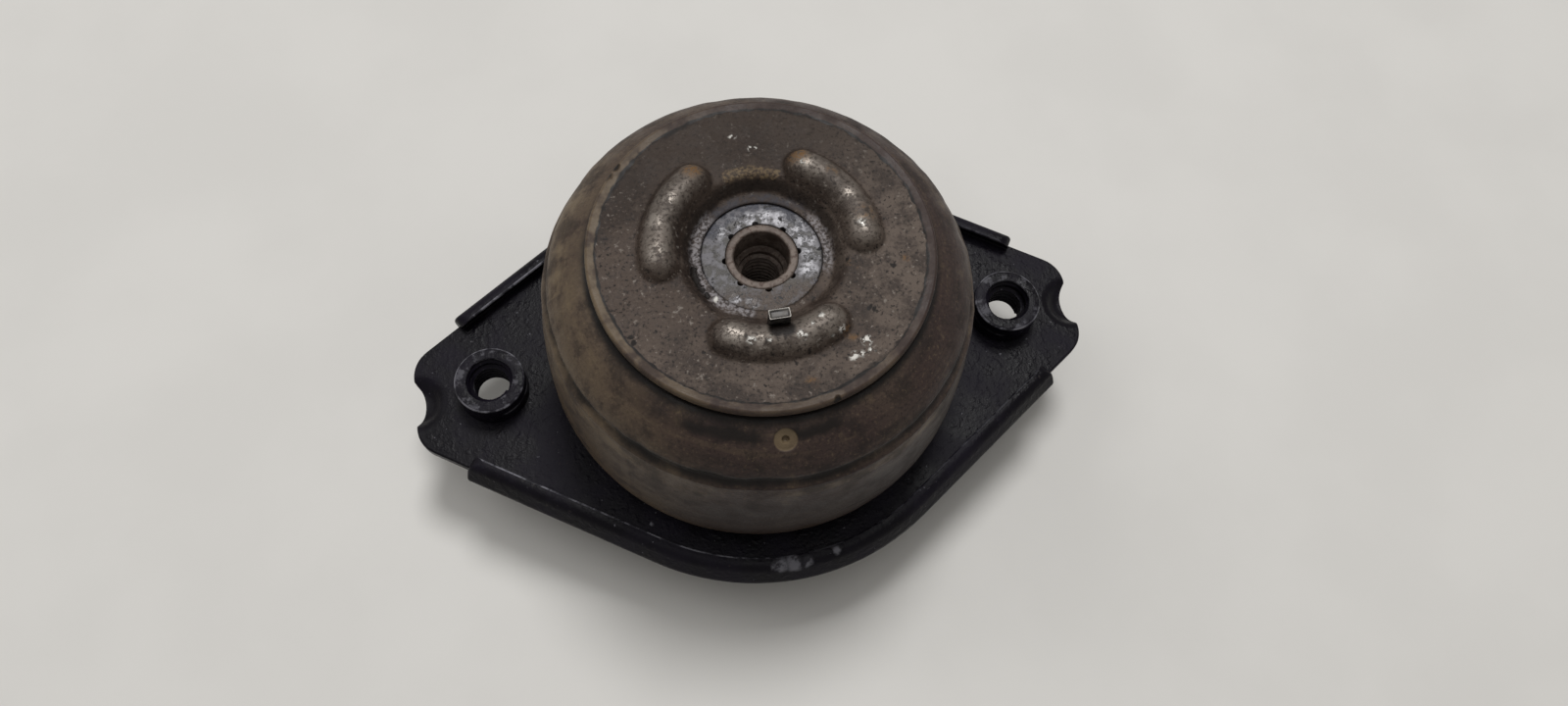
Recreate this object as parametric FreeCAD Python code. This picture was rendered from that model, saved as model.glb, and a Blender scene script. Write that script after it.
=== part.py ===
import FreeCAD, Part
import math
import os

# Hydraulic engine mount: a rubber drum bonded to a steel ring, on a pressed flange plate with two threaded
# bosses. A pressed cap with three kidney-shaped humps closes the top round an aluminium core with a threaded
# bush. The ring holds the damper below: two track plates with a loose membrane, a rolling diaphragm, a can.
# Millimetres, +Z up. The Z axis is the axis of the drum, Z = 0 is the underside of the can, and the two
# bosses lie on the X axis.

# ---- driving sizes -----------------------------------------------------------------------------------------
fit_gap = 0.05             # clearance between pieces that are pressed or slipped together

# flange plate
plate_height = 22.0        # underside of the plate above the underside of the can
plate_thickness = 3.0
plate_half_width = 56.0    # from the axis to each long side
tip_reach = 19.2           # from a boss's centre to the end of the plate
tip_half_width = 11.0      # of the square end, before its corners are rounded
tip_corner = 8.0           # corner radius of the tips in plan
lip_end_gap = 14.3         # from the lip's end to the tip's corner
lip_rise = 4.1             # top of the lip above the plate
lip_thickness = 2.7
lip_lean = 26.0            # degrees that the lip leans in over the plate
lip_bulge = 2.5            # how far the bend of the lip stands out past the side
lip_bend = 2.0             # outer radius of that bend
lip_crown = 2.6            # rounding of the lip's outer top edge
lip_root = 5.0             # where the lip's section starts in from the side
lip_end_corner = 3.0       # rounding of the lip's two upper ends
lip_end_round = 0.8        # softened edge round each of those ends
dimple_radius = 6.6        # half-round dimple pressed down at each tip
dimple_depth = 2.6
dimple_wall = 2.6          # taper of its wall
dimple_round = 3.0         # soft bends at the top and the bottom of that wall
dimple_pull = 2.0          # how far pressing it has pulled the edge in
pull_half_width = 5.8      # half of the bite that this leaves in the edge
edge_round = 0.5           # softened edges of pressed steel

# threaded bosses
boss_spacing = 130.0
boss_diameter = 16.8
boss_rise = 7.5            # above the plate
boss_spigot_diameter = 12.5
boss_mouth_diameter = 11.1
boss_mouth_depth = 0.8
boss_chamfer = 0.7
thread_hole_diameter = 8.5     # tapping size of M10

# steel ring
ring_radius = 44.0         # outside
ring_wall = 2.5
ring_straight = 27.0       # straight part above the plate
ring_flare_height = 10.0
ring_flare = 2.0           # how far the flare opens out
ring_bend = 12.0           # bend radius of the flare
crimp_width = 3.5          # reach of the rolled lip under the can's flange
weld_size = 2.2            # leg of the weld bead between ring and plate

# base can and rolling diaphragm
can_flange = 5.5           # flange of the can between the ring and the cup
can_wall = 1.5
can_corner = 4.0
vent_diameter = 4.0
bead_height = 3.0          # diaphragm's clamped bead
bead_width = 3.8
skin = 1.4                 # rubber wall of the diaphragm
roll_radius = 3.0          # half-round fold of the diaphragm
roll_depth = 5.5           # how far the fold hangs below the bead
roll_gap = 1.0             # between the fold and the can's wall
centre_drop = 1.0          # flat centre of the diaphragm below the bead
soft_corner = 0.6          # rounding of moulded rubber corners
insert_width = 1.8
insert_height = 1.4

# inertia track plates
lower_track_height = 6.0
upper_track_height = 5.0
upper_web = 2.5            # thickness of the upper plate inside its rim
track_floor = 2.0
track_land = 4.95          # metal outside the annular channel
track_width = 8.0
track_sweep = 300.0        # degrees that the channel runs round
port_diameter = 6.0
cage_land = 6.5            # metal between the channel and the recess of the loose membrane
track_step = 1.0           # shelf inside the upper plate's rim
track_step_round = 1.5
foot_seat = 1.0            # rubber foot above the top of the flange plate
cage_holes = 8
cage_hole_diameter = 6.0
cage_hole_circle = 13.5
membrane_web = 2.0
membrane_bead = 3.0
membrane_play = 0.2
membrane_round = 0.4

# rubber drum
drum_height = 53.9         # plate to the flat of the cap
foot_cover = 2.5           # rubber over the ring at the plate
side_bulge = 3.1           # widest place of the side past the foot
bulge_height = 13.5        # widest place above the plate
side_return = 2.1          # how far the side draws in again up to the crease
side_top_drop = 14.9       # below the flat of the cap
crease_step = 1.2          # how far the crease cuts in
crease_drop = 13.4
crease_width = 0.9
shoulder_bow = 1.3         # how far the shoulder swells out from a straight cone
groove_width = 1.9         # floor of the groove under the rim
groove_round = 0.5
neck_tuck = 0.1            # groove's wall inside the cap's edge
neck_drop = 3.6
rim_wall = 1.6             # rubber round the cap's edge
rim_foot_drop = 2.0
rim_foot_round = 0.6
rim_rise = 0.4             # rim above the flat of the cap
rim_round = 0.8
rim_lap = 0.7              # rubber over the edge of the cap
gate_diameter = 4.7        # moulding gate mark on the shoulder
gate_depth = 0.4
gate_hole_diameter = 1.5
gate_hole_depth = 2.0
gate_turn = -93.5          # degrees round from the X axis
gate_place = 0.7           # share of the shoulder's arc from the crease up
foot_lining = 3.2          # rubber lining inside the ring at the foot
cavity_radius = 10.0       # flat ceiling of the fluid chamber
cavity_cover = 1.5         # rubber under the core
cavity_round = 6.0
mouth_round = 4.0          # where the chamber's slope meets the lining
foot_drop = 3.0            # chamber mouth above the track plate

# pressed cap
cap_radius = 35.0
cap_thickness = 2.5
dish_depth = 3.4
dish_radius = 17.7         # crest of the dish
cap_hole_radius = 12.95
press_slope = 55.0         # degrees of the pressed flanks
dish_crest_round = 2.0
dish_floor_round = 0.8
kidney_rise = 3.6
kidney_radius = 21.6       # middle line of the humps
kidney_dome = 3.8
kidney_half_span = 28.5    # degrees from a hump's middle to its end's centre
kidney_turns = (270.0, 27.4, 152.6)
kidney_foot_round = 0.8

# aluminium core and its bush
core_drop = 3.7            # face of the core below the flat of the cap
core_shoulder_radius = 22.0
core_shoulder_height = 3.5
core_length = 28.0
core_end_radius = 12.0
core_end_round = 2.5
bush_diameter = 15.5
bush_length = 22.0
bush_mouth_diameter = 11.8
bush_mouth_depth = 6.2
notch_count = 8            # staking notches round the bush
notch_radius = 0.75
notch_depth = 3.0

# locating key
key_width = 4.3
key_thickness = 2.1
key_radius = 17.9          # from the axis to the middle of the key
key_rise = 5.6             # above the flat of the cap
key_root = 3.0             # depth in the core's shoulder
key_round = 0.35

# ---- sizes that follow -------------------------------------------------------------------------------------
plate_half_length = boss_spacing / 2 + tip_reach
tip_distance = math.hypot(plate_half_length, tip_half_width)
tip_direction = math.atan2(tip_half_width, plate_half_length)
side_slope = 90.0 - math.degrees(tip_direction + math.acos(plate_half_width / tip_distance))
lip_length = math.sqrt(tip_distance ** 2 - plate_half_width ** 2) - lip_end_gap
plate_top = plate_height + plate_thickness
boss_top = plate_top + boss_rise
cap_flat = plate_top + drum_height
dish_floor = cap_flat - dish_depth
core_face = cap_flat - core_drop
core_seat = dish_floor - cap_thickness
core_bottom = core_seat - core_length
foot_bottom = plate_top + foot_seat
upper_track_bottom = foot_bottom - upper_track_height
lower_track_bottom = upper_track_bottom - lower_track_height
bead_bottom = lower_track_bottom - bead_height
can_depth = bead_bottom - can_wall
ring_top = plate_top + ring_straight + ring_flare_height
heap_base = core_seat - 1.0
ring_inner = ring_radius - ring_wall
stack_radius = ring_inner - fit_gap
can_radius = ring_inner - can_flange
track_radius = stack_radius - track_land - track_width / 2
cage_radius = track_radius - track_width / 2 - cage_land
drum_foot_radius = ring_radius + foot_cover
bulge_radius = drum_foot_radius + side_bulge
side_top_radius = bulge_radius - side_return
crease_radius = side_top_radius - crease_step
neck_radius = cap_radius - neck_tuck
shoulder_end_radius = neck_radius + groove_width
rim_radius = cap_radius + rim_wall
rim_inner_radius = cap_radius - rim_lap
boss_places = {"left": -boss_spacing / 2, "right": boss_spacing / 2}


# ---- small helpers -----------------------------------------------------------------------------------------
def vec(x, y, z):
    return FreeCAD.Vector(x, y, z)


def cylinder(radius, low, high, x=0.0, y=0.0):
    return Part.makeCylinder(radius, high - low, vec(x, y, low))


def corner_cut(before, corner, after, radius):
    # the two tangent points and the middle of the arc that rounds one corner of an outline
    back = (before - corner).normalize()
    ahead = (after - corner).normalize()
    half = back.getAngle(ahead) / 2
    reach = radius / math.tan(half)
    middle = corner + (back + ahead).normalize() * (radius / math.sin(half) - radius)
    return corner + back * reach, middle, corner + ahead * reach


def outline_face(points, place):
    # closed face through the points (a, b), put in space by place(a, b): a third value rounds that corner by
    # this radius, and "bow" makes the point the middle of an arc from the point before it to the next
    corners = [place(p[0], p[1]) for p in points]
    edges = []
    first = last = None
    for i, point in enumerate(points):
        corner = corners[i]
        following = corners[(i + 1) % len(points)]
        if point[2:] == ("bow",):
            edges.append(Part.Arc(last, corner, following).toShape())
            last = following
            continue
        if len(point) > 2:
            start, middle, end = corner_cut(corners[i - 1], corner, following, point[2])
        else:
            start = end = corner
        if last is None:
            first = start
        elif last.distanceToPoint(start) > 1e-6:
            edges.append(Part.LineSegment(last, start).toShape())
        if len(point) > 2:
            edges.append(Part.Arc(start, middle, end).toShape())
        last = end
    if last.distanceToPoint(first) > 1e-6:
        edges.append(Part.LineSegment(last, first).toShape())
    return Part.Face(Part.Wire(edges))


def bow_from_widest(widest, other):
    # middle of the arc that stands upright at the widest point of a side and ends at the other point
    rise = other[1] - widest[1]
    radius = ((widest[0] - other[0]) ** 2 + rise ** 2) / (2 * (widest[0] - other[0]))
    half = math.asin(rise / radius) / 2
    return widest[0] - radius * (1 - math.cos(half)), widest[1] + radius * math.sin(half), "bow"


def bow_between(start, end, swell):
    # middle of an arc from start to end that swells outward, to the right of the way it runs
    run = end[0] - start[0]
    rise = end[1] - start[1]
    share = swell / math.hypot(run, rise)
    return (start[0] + end[0]) / 2 + share * rise, (start[1] + end[1]) / 2 - share * run, "bow"


def upright(a, b):
    return vec(a, 0, b)


def turned(points, degrees=360.0):
    # solid of revolution about the Z axis from points (radius, height) or (radius, height, corner radius)
    return outline_face(points, upright).revolve(vec(0, 0, 0), vec(0, 0, 1), degrees)


def spun(shape, degrees):
    turned_shape = shape.copy()
    turned_shape.rotate(vec(0, 0, 0), vec(0, 0, 1), degrees)
    return turned_shape


def mirrored(shape):
    return shape.mirror(vec(0, 0, 0), vec(1, 0, 0))


def join(shapes):
    return shapes[0].multiFuse(shapes[1:]).removeSplitter()


def round_edges(shape, radius, wanted):
    return shape.makeFillet(radius, [edge for edge in shape.Edges if wanted(edge)])


def edge_heights(edge):
    return edge.BoundBox.ZMin, edge.BoundBox.ZMax


def fold_angle(shape, edge):
    # degrees between the normals of the two faces that meet at an edge, 0 at a seam
    faces = shape.ancestorsOfType(edge, Part.Face)
    if len(faces) < 2:
        return 0.0
    middle = edge.valueAt((edge.FirstParameter + edge.LastParameter) / 2)
    normals = [face.normalAt(*face.Surface.parameter(middle)) for face in faces]
    return math.degrees(normals[0].getAngle(normals[1]))


def lies_at(edge, height):
    low, high = edge_heights(edge)
    return abs(low - height) < 1e-4 and abs(high - height) < 1e-4


# ---- flange plate ------------------------------------------------------------------------------------------
def plate_outline():
    # blank: the four straight sides touch a circle about the axis, and each tip is cut off square
    slope = math.radians(side_slope)
    touch = vec(plate_half_width * math.sin(slope), plate_half_width * math.cos(slope), 0)
    tip_y = touch.y - (plate_half_length - touch.x) * math.tan(slope)
    tip = vec(plate_half_length, tip_y, 0)
    below = vec(plate_half_length, 0, 0)
    start, middle, end = corner_cut(touch, tip, below, tip_corner)
    quarter = [
        Part.Arc(vec(0, plate_half_width, 0), spun_point(touch, side_slope / 2), touch).toShape(),
        Part.LineSegment(touch, start).toShape(),
        Part.Arc(start, middle, end).toShape(),
        Part.LineSegment(end, below).toShape(),
    ]
    half = quarter + [edge.mirror(vec(0, 0, 0), vec(0, 1, 0)) for edge in quarter]
    return half + [edge.mirror(vec(0, 0, 0), vec(1, 0, 0)) for edge in half]


def spun_point(point, degrees):
    return FreeCAD.Rotation(vec(0, 0, 1), degrees).multVec(point)


def lip_outer(height):
    # distance from the axis to the lip's outer leaning face, tangent to a bend that stands lip_bulge proud
    lean = math.radians(lip_lean)
    bend_centre = plate_half_width + lip_bulge - lip_bend
    reach = lip_bend + (plate_height + lip_bend) * math.sin(lean) + bend_centre * math.cos(lean)
    return (reach - height * math.sin(lean)) / math.cos(lean)


def lip_inner(height):
    return lip_outer(height) - lip_thickness / math.cos(math.radians(lip_lean))


def lip_section():
    # section across a lip: distance from the axis, height
    top = plate_top + lip_rise
    root = plate_half_width - lip_root
    return [
        (root, plate_height),
        (lip_outer(plate_height), plate_height, lip_bend),
        (lip_outer(top), top, lip_crown),
        (lip_inner(top), top, edge_round),
        (lip_inner(plate_top), plate_top, edge_round),
        (root, plate_top),
    ]


def swept_along_side(points):
    # sweeps a section (distance from the axis, height) along the round middle and both straight sides of +Y
    face = outline_face(points, upright)
    middle = spun(face.revolve(vec(0, 0, 0), vec(0, 0, 1), 2 * side_slope), 90.0 - side_slope)
    straight = spun(face, 90.0 - side_slope).extrude(spun_point(vec(0, -lip_length, 0), 90.0 - side_slope))
    return join([middle, straight, mirrored(straight)])


def lip_end_cutter():
    # rounds the upper corner at the end of a lip, square to the straight side
    width = lip_thickness + lip_bulge + lip_rise + 6.0
    near = plate_half_width + lip_bulge + 2.0 - width
    low = plate_top + lip_rise - lip_end_corner
    block = Part.makeBox(width, lip_end_corner + 1.0, lip_end_corner + 1.0, vec(near, -lip_length - 1.0, low))
    axis_place = vec(near, lip_end_corner - lip_length, low)
    rounder = Part.makeCylinder(lip_end_corner, width, axis_place, vec(1, 0, 0))
    cutter = spun(block.cut(rounder), 90.0 - side_slope)
    return Part.makeCompound([cutter, mirrored(cutter)])


def soft_lip_ends(lip):
    # rounds the outer edge round the two ends of a lip
    slope = math.radians(side_slope)

    def is_end(edge):
        for vertex in edge.Vertexes:
            along = abs(vertex.X) * math.cos(slope) - vertex.Y * math.sin(slope)
            across = abs(vertex.X) * math.sin(slope) + vertex.Y * math.cos(slope)
            if along < lip_length - lip_end_corner - edge_round:
                return False
            if across < lip_inner(vertex.Z) + edge_round:
                return False
        return fold_angle(lip, edge) > 5.0

    return round_edges(lip, lip_end_round, is_end)


def tip_dimple(surface, top):
    # space of the dimple at the +X tip below a surface at this height, closed at top
    foot = dimple_radius - dimple_wall
    floor = surface - dimple_depth
    brim = dimple_radius + dimple_round
    space = turned([
        (0, floor),
        (foot, floor, dimple_round),
        (dimple_radius, surface, dimple_round),
        (brim, surface),
        (brim, top),
        (0, top),
    ])
    space.translate(vec(plate_half_length, 0, 0))
    return space


def tip_pull():
    # bite in plan that the pressed dimple leaves in the end edge
    radius = (pull_half_width ** 2 + dimple_pull ** 2) / (2 * dimple_pull)
    x = plate_half_length - dimple_pull + radius
    return cylinder(radius, plate_height - 10.0, plate_top + 10.0, x)


def flange_plate():
    blank = Part.Face(Part.Wire(Part.__sortEdges__(plate_outline()))).extrude(vec(0, 0, plate_thickness))
    blank.translate(vec(0, 0, plate_height))
    blank = round_edges(blank, edge_round, lambda edge: edge_heights(edge)[0] == edge_heights(edge)[1])
    root = plate_half_width - lip_root + 1.0
    strip = swept_along_side([
        (root, plate_height - 1.0),
        (plate_half_width + 1.0, plate_height - 1.0),
        (plate_half_width + 1.0, plate_top + 1.0),
        (root, plate_top + 1.0),
    ])
    lip = soft_lip_ends(swept_along_side(lip_section()).cut(lip_end_cutter()))
    plate = blank.cut(strip).cut(spun(strip, 180.0))
    plate = join([plate, lip, spun(lip, 180.0)])
    # the sheet under the dimple, within the blank's own outline
    outline = Part.Face(Part.Wire(Part.__sortEdges__(plate_outline())))
    prism = outline.extrude(vec(0, 0, 2 * dimple_depth + plate_thickness))
    prism.translate(vec(0, 0, plate_height - 2 * dimple_depth))
    pressed = tip_dimple(plate_height, plate_height + plate_thickness / 2).common(prism)
    hollow = tip_dimple(plate_top, plate_top + dimple_depth)
    for turn in (0.0, 180.0):
        plate = join([plate, spun(pressed, turn)])
        plate = plate.cut(spun(hollow, turn)).cut(spun(tip_pull(), turn))
    plate = plate.cut(cylinder(ring_radius + fit_gap, plate_height - 1.0, plate_top + 1.0))
    for x in boss_places.values():
        hole = cylinder(boss_spigot_diameter / 2 + fit_gap, plate_height - 1.0, plate_top + 1.0, x)
        plate = plate.cut(hole)
    return plate


def boss(x):
    # weld nut with a spigot that centres it in the plate, threaded right through
    spigot = boss_spigot_diameter / 2
    outer = boss_diameter / 2
    bore = thread_hole_diameter / 2
    mouth = boss_mouth_diameter / 2
    lead = mouth - bore
    solid = turned([
        (bore, plate_height + boss_chamfer),
        (bore + boss_chamfer, plate_height),
        (spigot, plate_height),
        (spigot, plate_top),
        (outer, plate_top),
        (outer, boss_top, boss_chamfer),
        (mouth, boss_top),
        (mouth, boss_top - boss_mouth_depth),
        (bore, boss_top - boss_mouth_depth - lead),
    ])
    solid.translate(vec(x, 0, 0))
    return solid


# ---- steel ring and the damper inside it -------------------------------------------------------------------
def outer_ring():
    inner = ring_inner
    lip_bottom = can_depth - ring_wall
    bend = plate_top + ring_straight
    return turned([
        (inner - crimp_width, lip_bottom, ring_wall * 0.3),
        (ring_radius, lip_bottom, ring_wall * 0.9),
        (ring_radius, bend, ring_bend),
        (ring_radius + ring_flare, ring_top),
        (inner + ring_flare, ring_top),
        (inner, bend, ring_bend),
        (inner, can_depth),
        (inner - crimp_width, can_depth, ring_wall * 0.3),
    ])


def ring_weld():
    # weld bead in the corner between the ring and the top of the plate, covered by the rubber
    high = plate_top + weld_size
    bow = weld_size * 0.45
    return turned([
        (ring_radius, plate_top),
        (ring_radius + weld_size, plate_top),
        (ring_radius + bow, plate_top + bow, "bow"),
        (ring_radius, high),
    ])


def base_can():
    flange = bead_bottom
    inner = can_radius - can_wall
    cup = turned([
        (0, 0),
        (can_radius, 0, can_corner + can_wall),
        (can_radius, can_depth, can_wall * 0.6),
        (stack_radius, can_depth),
        (stack_radius, flange),
        (inner, flange, can_wall * 1.4),
        (inner, can_wall, can_corner),
        (0, can_wall),
    ])
    return cup.cut(cylinder(vent_diameter / 2, -1.0, can_wall + 1.0))


def diaphragm_insert():
    # steel ring moulded into the middle of the diaphragm's bead
    middle = stack_radius - bead_width / 2
    height = bead_bottom + bead_height / 2
    return turned([
        (middle - insert_width / 2, height - insert_height / 2),
        (middle + insert_width / 2, height - insert_height / 2),
        (middle + insert_width / 2, height + insert_height / 2),
        (middle - insert_width / 2, height + insert_height / 2),
    ])


def rolling_diaphragm():
    # thin rubber wall: flat centre, one fold that hangs into the can, and the clamped bead
    bead_inner = stack_radius - bead_width
    top = lower_track_bottom
    web = bead_bottom + skin
    centre = bead_bottom - centre_drop
    outer = can_radius - can_wall - roll_gap
    fold_out = outer - skin
    fold_mid = fold_out - 2 * roll_radius
    low = bead_bottom - roll_depth
    return turned([
        (0, centre),
        (fold_mid - skin, centre, soft_corner),
        (fold_mid - skin, low, roll_radius + skin * 0.6),
        (outer, low, roll_radius + skin * 0.6),
        (outer, bead_bottom, soft_corner),
        (stack_radius, bead_bottom),
        (stack_radius, top),
        (bead_inner, top),
        (bead_inner, web),
        (fold_out, web, skin + soft_corner),
        (fold_out, low + skin, roll_radius * 0.8),
        (fold_mid, low + skin, roll_radius * 0.8),
        (fold_mid, centre + skin, soft_corner + skin),
        (0, centre + skin),
    ]).cut(diaphragm_insert())


def track_channel(low, high):
    # the channel's space: an open ring with round ends
    half = track_width / 2
    ring = turned([
        (track_radius - half, low),
        (track_radius + half, low),
        (track_radius + half, high),
        (track_radius - half, high),
    ], track_sweep)
    ends = [spun(cylinder(half, low, high, track_radius), turn) for turn in (0.0, track_sweep)]
    return join([ring] + ends)


def cage_ports(low, high):
    # holes that let the fluid reach the membrane through either plate
    step = 360.0 / cage_holes
    holes = [spun(cylinder(cage_hole_diameter / 2, low, high, cage_hole_circle), i * step)
             for i in range(cage_holes)]
    return Part.makeCompound(holes)


def lower_track_plate():
    low = lower_track_bottom
    high = upper_track_bottom
    floor = low + track_floor
    plate = cylinder(stack_radius, low, high)
    plate = plate.cut(track_channel(floor, high))
    plate = plate.cut(cylinder(cage_radius, floor, high))
    plate = plate.cut(cage_ports(low - 1.0, high))
    return plate.cut(cylinder(port_diameter / 2, low - 1.0, high, track_radius))


def upper_track_plate():
    low = upper_track_bottom
    high = foot_bottom
    rim = stack_radius - foot_lining - track_step
    plate = turned([
        (0, low),
        (stack_radius, low),
        (stack_radius, high, edge_round),
        (rim, high, edge_round),
        (rim, low + upper_web, track_step_round),
        (0, low + upper_web),
    ])
    plate = plate.cut(cage_ports(low - 1.0, high))
    port = spun(cylinder(port_diameter / 2, low - 1.0, high, track_radius), track_sweep)
    return plate.cut(port)


def decoupler_membrane():
    # loose rubber disc with a thicker edge, shut in between the two plates
    low = lower_track_bottom + track_floor + membrane_play
    high = upper_track_bottom - membrane_play
    middle = (low + high) / 2
    edge = cage_radius - membrane_play
    inner = edge - membrane_bead
    half_web = membrane_web / 2
    return turned([
        (0, middle - half_web),
        (inner, middle - half_web, membrane_round),
        (inner, low, membrane_round),
        (edge, low, soft_corner),
        (edge, high, soft_corner),
        (inner, high, membrane_round),
        (inner, middle + half_web, membrane_round),
        (0, middle + half_web),
    ])


# ---- cap, core, bush and key -------------------------------------------------------------------------------
def kidney(turn, sheet):
    # one hump with its flanks run down below the cap; sheet sinks it by a sheet's thickness all over
    slope = math.radians(press_slope)
    crown = cap_flat + kidney_rise
    centre = crown - kidney_dome
    dome = kidney_dome - sheet
    side = dome * math.sin(slope)
    side_height = centre + dome * math.cos(slope)
    base = heap_base
    foot = side + (side_height - base) / math.tan(slope)
    dome_half = dome * math.sin(slope / 2)
    dome_half_height = centre + dome * math.cos(slope / 2)

    def at(across, height):
        return vec(kidney_radius + across, 0, height)

    right = [
        Part.Arc(at(0, crown - sheet), at(dome_half, dome_half_height), at(side, side_height)).toShape(),
        Part.LineSegment(at(side, side_height), at(foot, base)).toShape(),
        Part.LineSegment(at(foot, base), at(0, base)).toShape(),
        Part.LineSegment(at(0, base), at(0, crown - sheet)).toShape(),
    ]
    left = [
        Part.Arc(at(-side, side_height), at(0, crown - sheet), at(side, side_height)).toShape(),
        right[1],
        Part.LineSegment(at(foot, base), at(-foot, base)).toShape(),
        Part.LineSegment(at(-foot, base), at(-side, side_height)).toShape(),
    ]
    span = 2 * kidney_half_span
    body = Part.Face(Part.Wire(left)).revolve(vec(0, 0, 0), vec(0, 0, 1), span)
    near_end = Part.Face(Part.Wire(right)).revolve(vec(kidney_radius, 0, 0), vec(0, 0, 1), -180.0)
    far_end = spun(Part.Face(Part.Wire(right)).revolve(vec(kidney_radius, 0, 0), vec(0, 0, 1), 180.0), span)
    return spun(body.multiFuse([near_end, far_end]).removeSplitter(), turn - kidney_half_span)


def pressed_heap(sheet):
    # everything under the pressed surface of the cap, with that surface sunk by sheet
    slope = math.radians(press_slope)
    flat = cap_flat - sheet
    floor = dish_floor - sheet
    crest = dish_radius + sheet * math.tan(slope / 2)
    foot = crest - dish_depth / math.tan(slope)
    crest_round = max(dish_crest_round - sheet, 0.3)
    edge = cap_radius + sheet
    disc = turned([
        (0, heap_base),
        (edge, heap_base),
        (edge, flat),
        (crest, flat, crest_round),
        (foot, floor, dish_floor_round + sheet),
        (0, floor),
    ])
    return join([disc] + [kidney(turn, sheet) for turn in kidney_turns])


def soft_feet(heap):
    # small radius where the flanks of the humps run into the flat and the dish of the cap
    def is_foot(edge):
        reach = max(math.hypot(vertex.X, vertex.Y) for vertex in edge.Vertexes)
        inside = reach < cap_radius - kidney_foot_round and edge_heights(edge)[0] > heap_base
        return inside and fold_angle(heap, edge) > 5.0

    return round_edges(heap, kidney_foot_round, is_foot)


def top_cap():
    cap = soft_feet(pressed_heap(0.0)).cut(pressed_heap(cap_thickness))
    cap = cap.cut(cylinder(cap_hole_radius, heap_base - 1.0, cap_flat + 1.0))
    return cap.cut(key_block(fit_gap))


def key_block(gap):
    width = key_width + 2 * gap
    thickness = key_thickness + 2 * gap
    low = core_seat - key_root - gap
    corner = vec(-width / 2, -key_radius - thickness / 2, low)
    return Part.makeBox(width, thickness, cap_flat + key_rise - low, corner)


def locating_key():
    top = cap_flat + key_rise
    return round_edges(key_block(0.0), key_round, lambda edge: lies_at(edge, top))


def core_blank():
    # stepped core: neck in the cap's hole, shoulder under the cap, taper down into the rubber
    return turned([
        (0, core_bottom),
        (core_end_radius, core_bottom, core_end_round),
        (core_shoulder_radius, core_seat - core_shoulder_height, core_end_round),
        (core_shoulder_radius, core_seat, edge_round),
        (cap_hole_radius - fit_gap, core_seat),
        (cap_hole_radius - fit_gap, core_face, edge_round),
        (0, core_face),
    ])


def core():
    hole = cylinder(bush_diameter / 2 + fit_gap, core_face - bush_length, core_face + 1.0)
    solid = core_blank().cut(hole)
    step = 360.0 / notch_count
    notch = cylinder(notch_radius, core_face - notch_depth, core_face + 1.0, bush_diameter / 2)
    notches = [spun(notch, i * step) for i in range(notch_count)]
    return solid.cut(Part.makeCompound(notches)).cut(key_block(fit_gap))


def core_bush():
    # threaded steel bush with a plain mouth
    outer = bush_diameter / 2
    bore = thread_hole_diameter / 2
    mouth = bush_mouth_diameter / 2
    low = core_face - bush_length
    step = core_face - bush_mouth_depth
    return turned([
        (bore, low),
        (outer, low, edge_round),
        (outer, core_face, edge_round),
        (mouth, core_face, edge_round),
        (mouth, step),
        (bore, step - (mouth - bore)),
    ])


# ---- rubber drum -------------------------------------------------------------------------------------------
def shoulder_arc():
    # start, middle and end of the swelling shoulder between the crease and the groove under the rim
    start = (crease_radius, cap_flat - crease_drop + crease_width)
    end = (shoulder_end_radius, cap_flat - neck_drop)
    return start, bow_between(start, end, shoulder_bow), end


def drum_skin():
    # outer surface of the rubber from the plate to the edge of the cap, then down inside to the fluid chamber
    mouth = ring_inner - foot_lining
    ceiling = core_bottom - cavity_cover
    foot = (drum_foot_radius, plate_top)
    widest = (bulge_radius, plate_top + bulge_height)
    side_top = (side_top_radius, cap_flat - side_top_drop)
    above = cap_flat + 2 * kidney_rise
    return turned([
        (mouth, foot_bottom),
        (ring_inner, foot_bottom),
        (ring_inner, plate_top),
        foot,
        bow_from_widest(widest, foot),
        widest,
        bow_from_widest(widest, side_top),
        side_top,
        (crease_radius, cap_flat - crease_drop),
        *shoulder_arc(),
        (neck_radius, cap_flat - neck_drop, groove_round),
        (rim_radius, cap_flat - rim_foot_drop, rim_foot_round),
        (rim_radius, cap_flat + rim_rise, rim_round),
        (rim_inner_radius, cap_flat),
        (rim_inner_radius, above),
        (0, above),
        (0, ceiling),
        (cavity_radius, ceiling, cavity_round),
        (mouth, foot_bottom + foot_drop, mouth_round),
    ])


def gate_mark():
    # shallow round hollow with a small deeper hole, square to the shoulder's surface
    arc = Part.Arc(*[upright(point[0], point[1]) for point in shoulder_arc()])
    where = arc.FirstParameter + gate_place * (arc.LastParameter - arc.FirstParameter)
    along = arc.tangent(where)[0]
    outward = vec(along.z, 0, -along.x)
    surface = arc.value(where)
    mark = Part.makeCylinder(gate_diameter / 2, 3.0, surface - outward * gate_depth, outward)
    hole = Part.makeCylinder(gate_hole_diameter / 2, 3.0, surface - outward * gate_hole_depth, outward)
    return spun(mark.fuse(hole), gate_turn)


def main_spring():
    above = cylinder(rim_inner_radius, heap_base, cap_flat + 3 * kidney_rise).cut(pressed_heap(cap_thickness))
    rubber = drum_skin().cut(above).cut(top_cap())
    for piece in (core_blank(), outer_ring(), ring_weld(), locating_key()):
        rubber = rubber.cut(piece)
    return rubber.cut(gate_mark())


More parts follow.
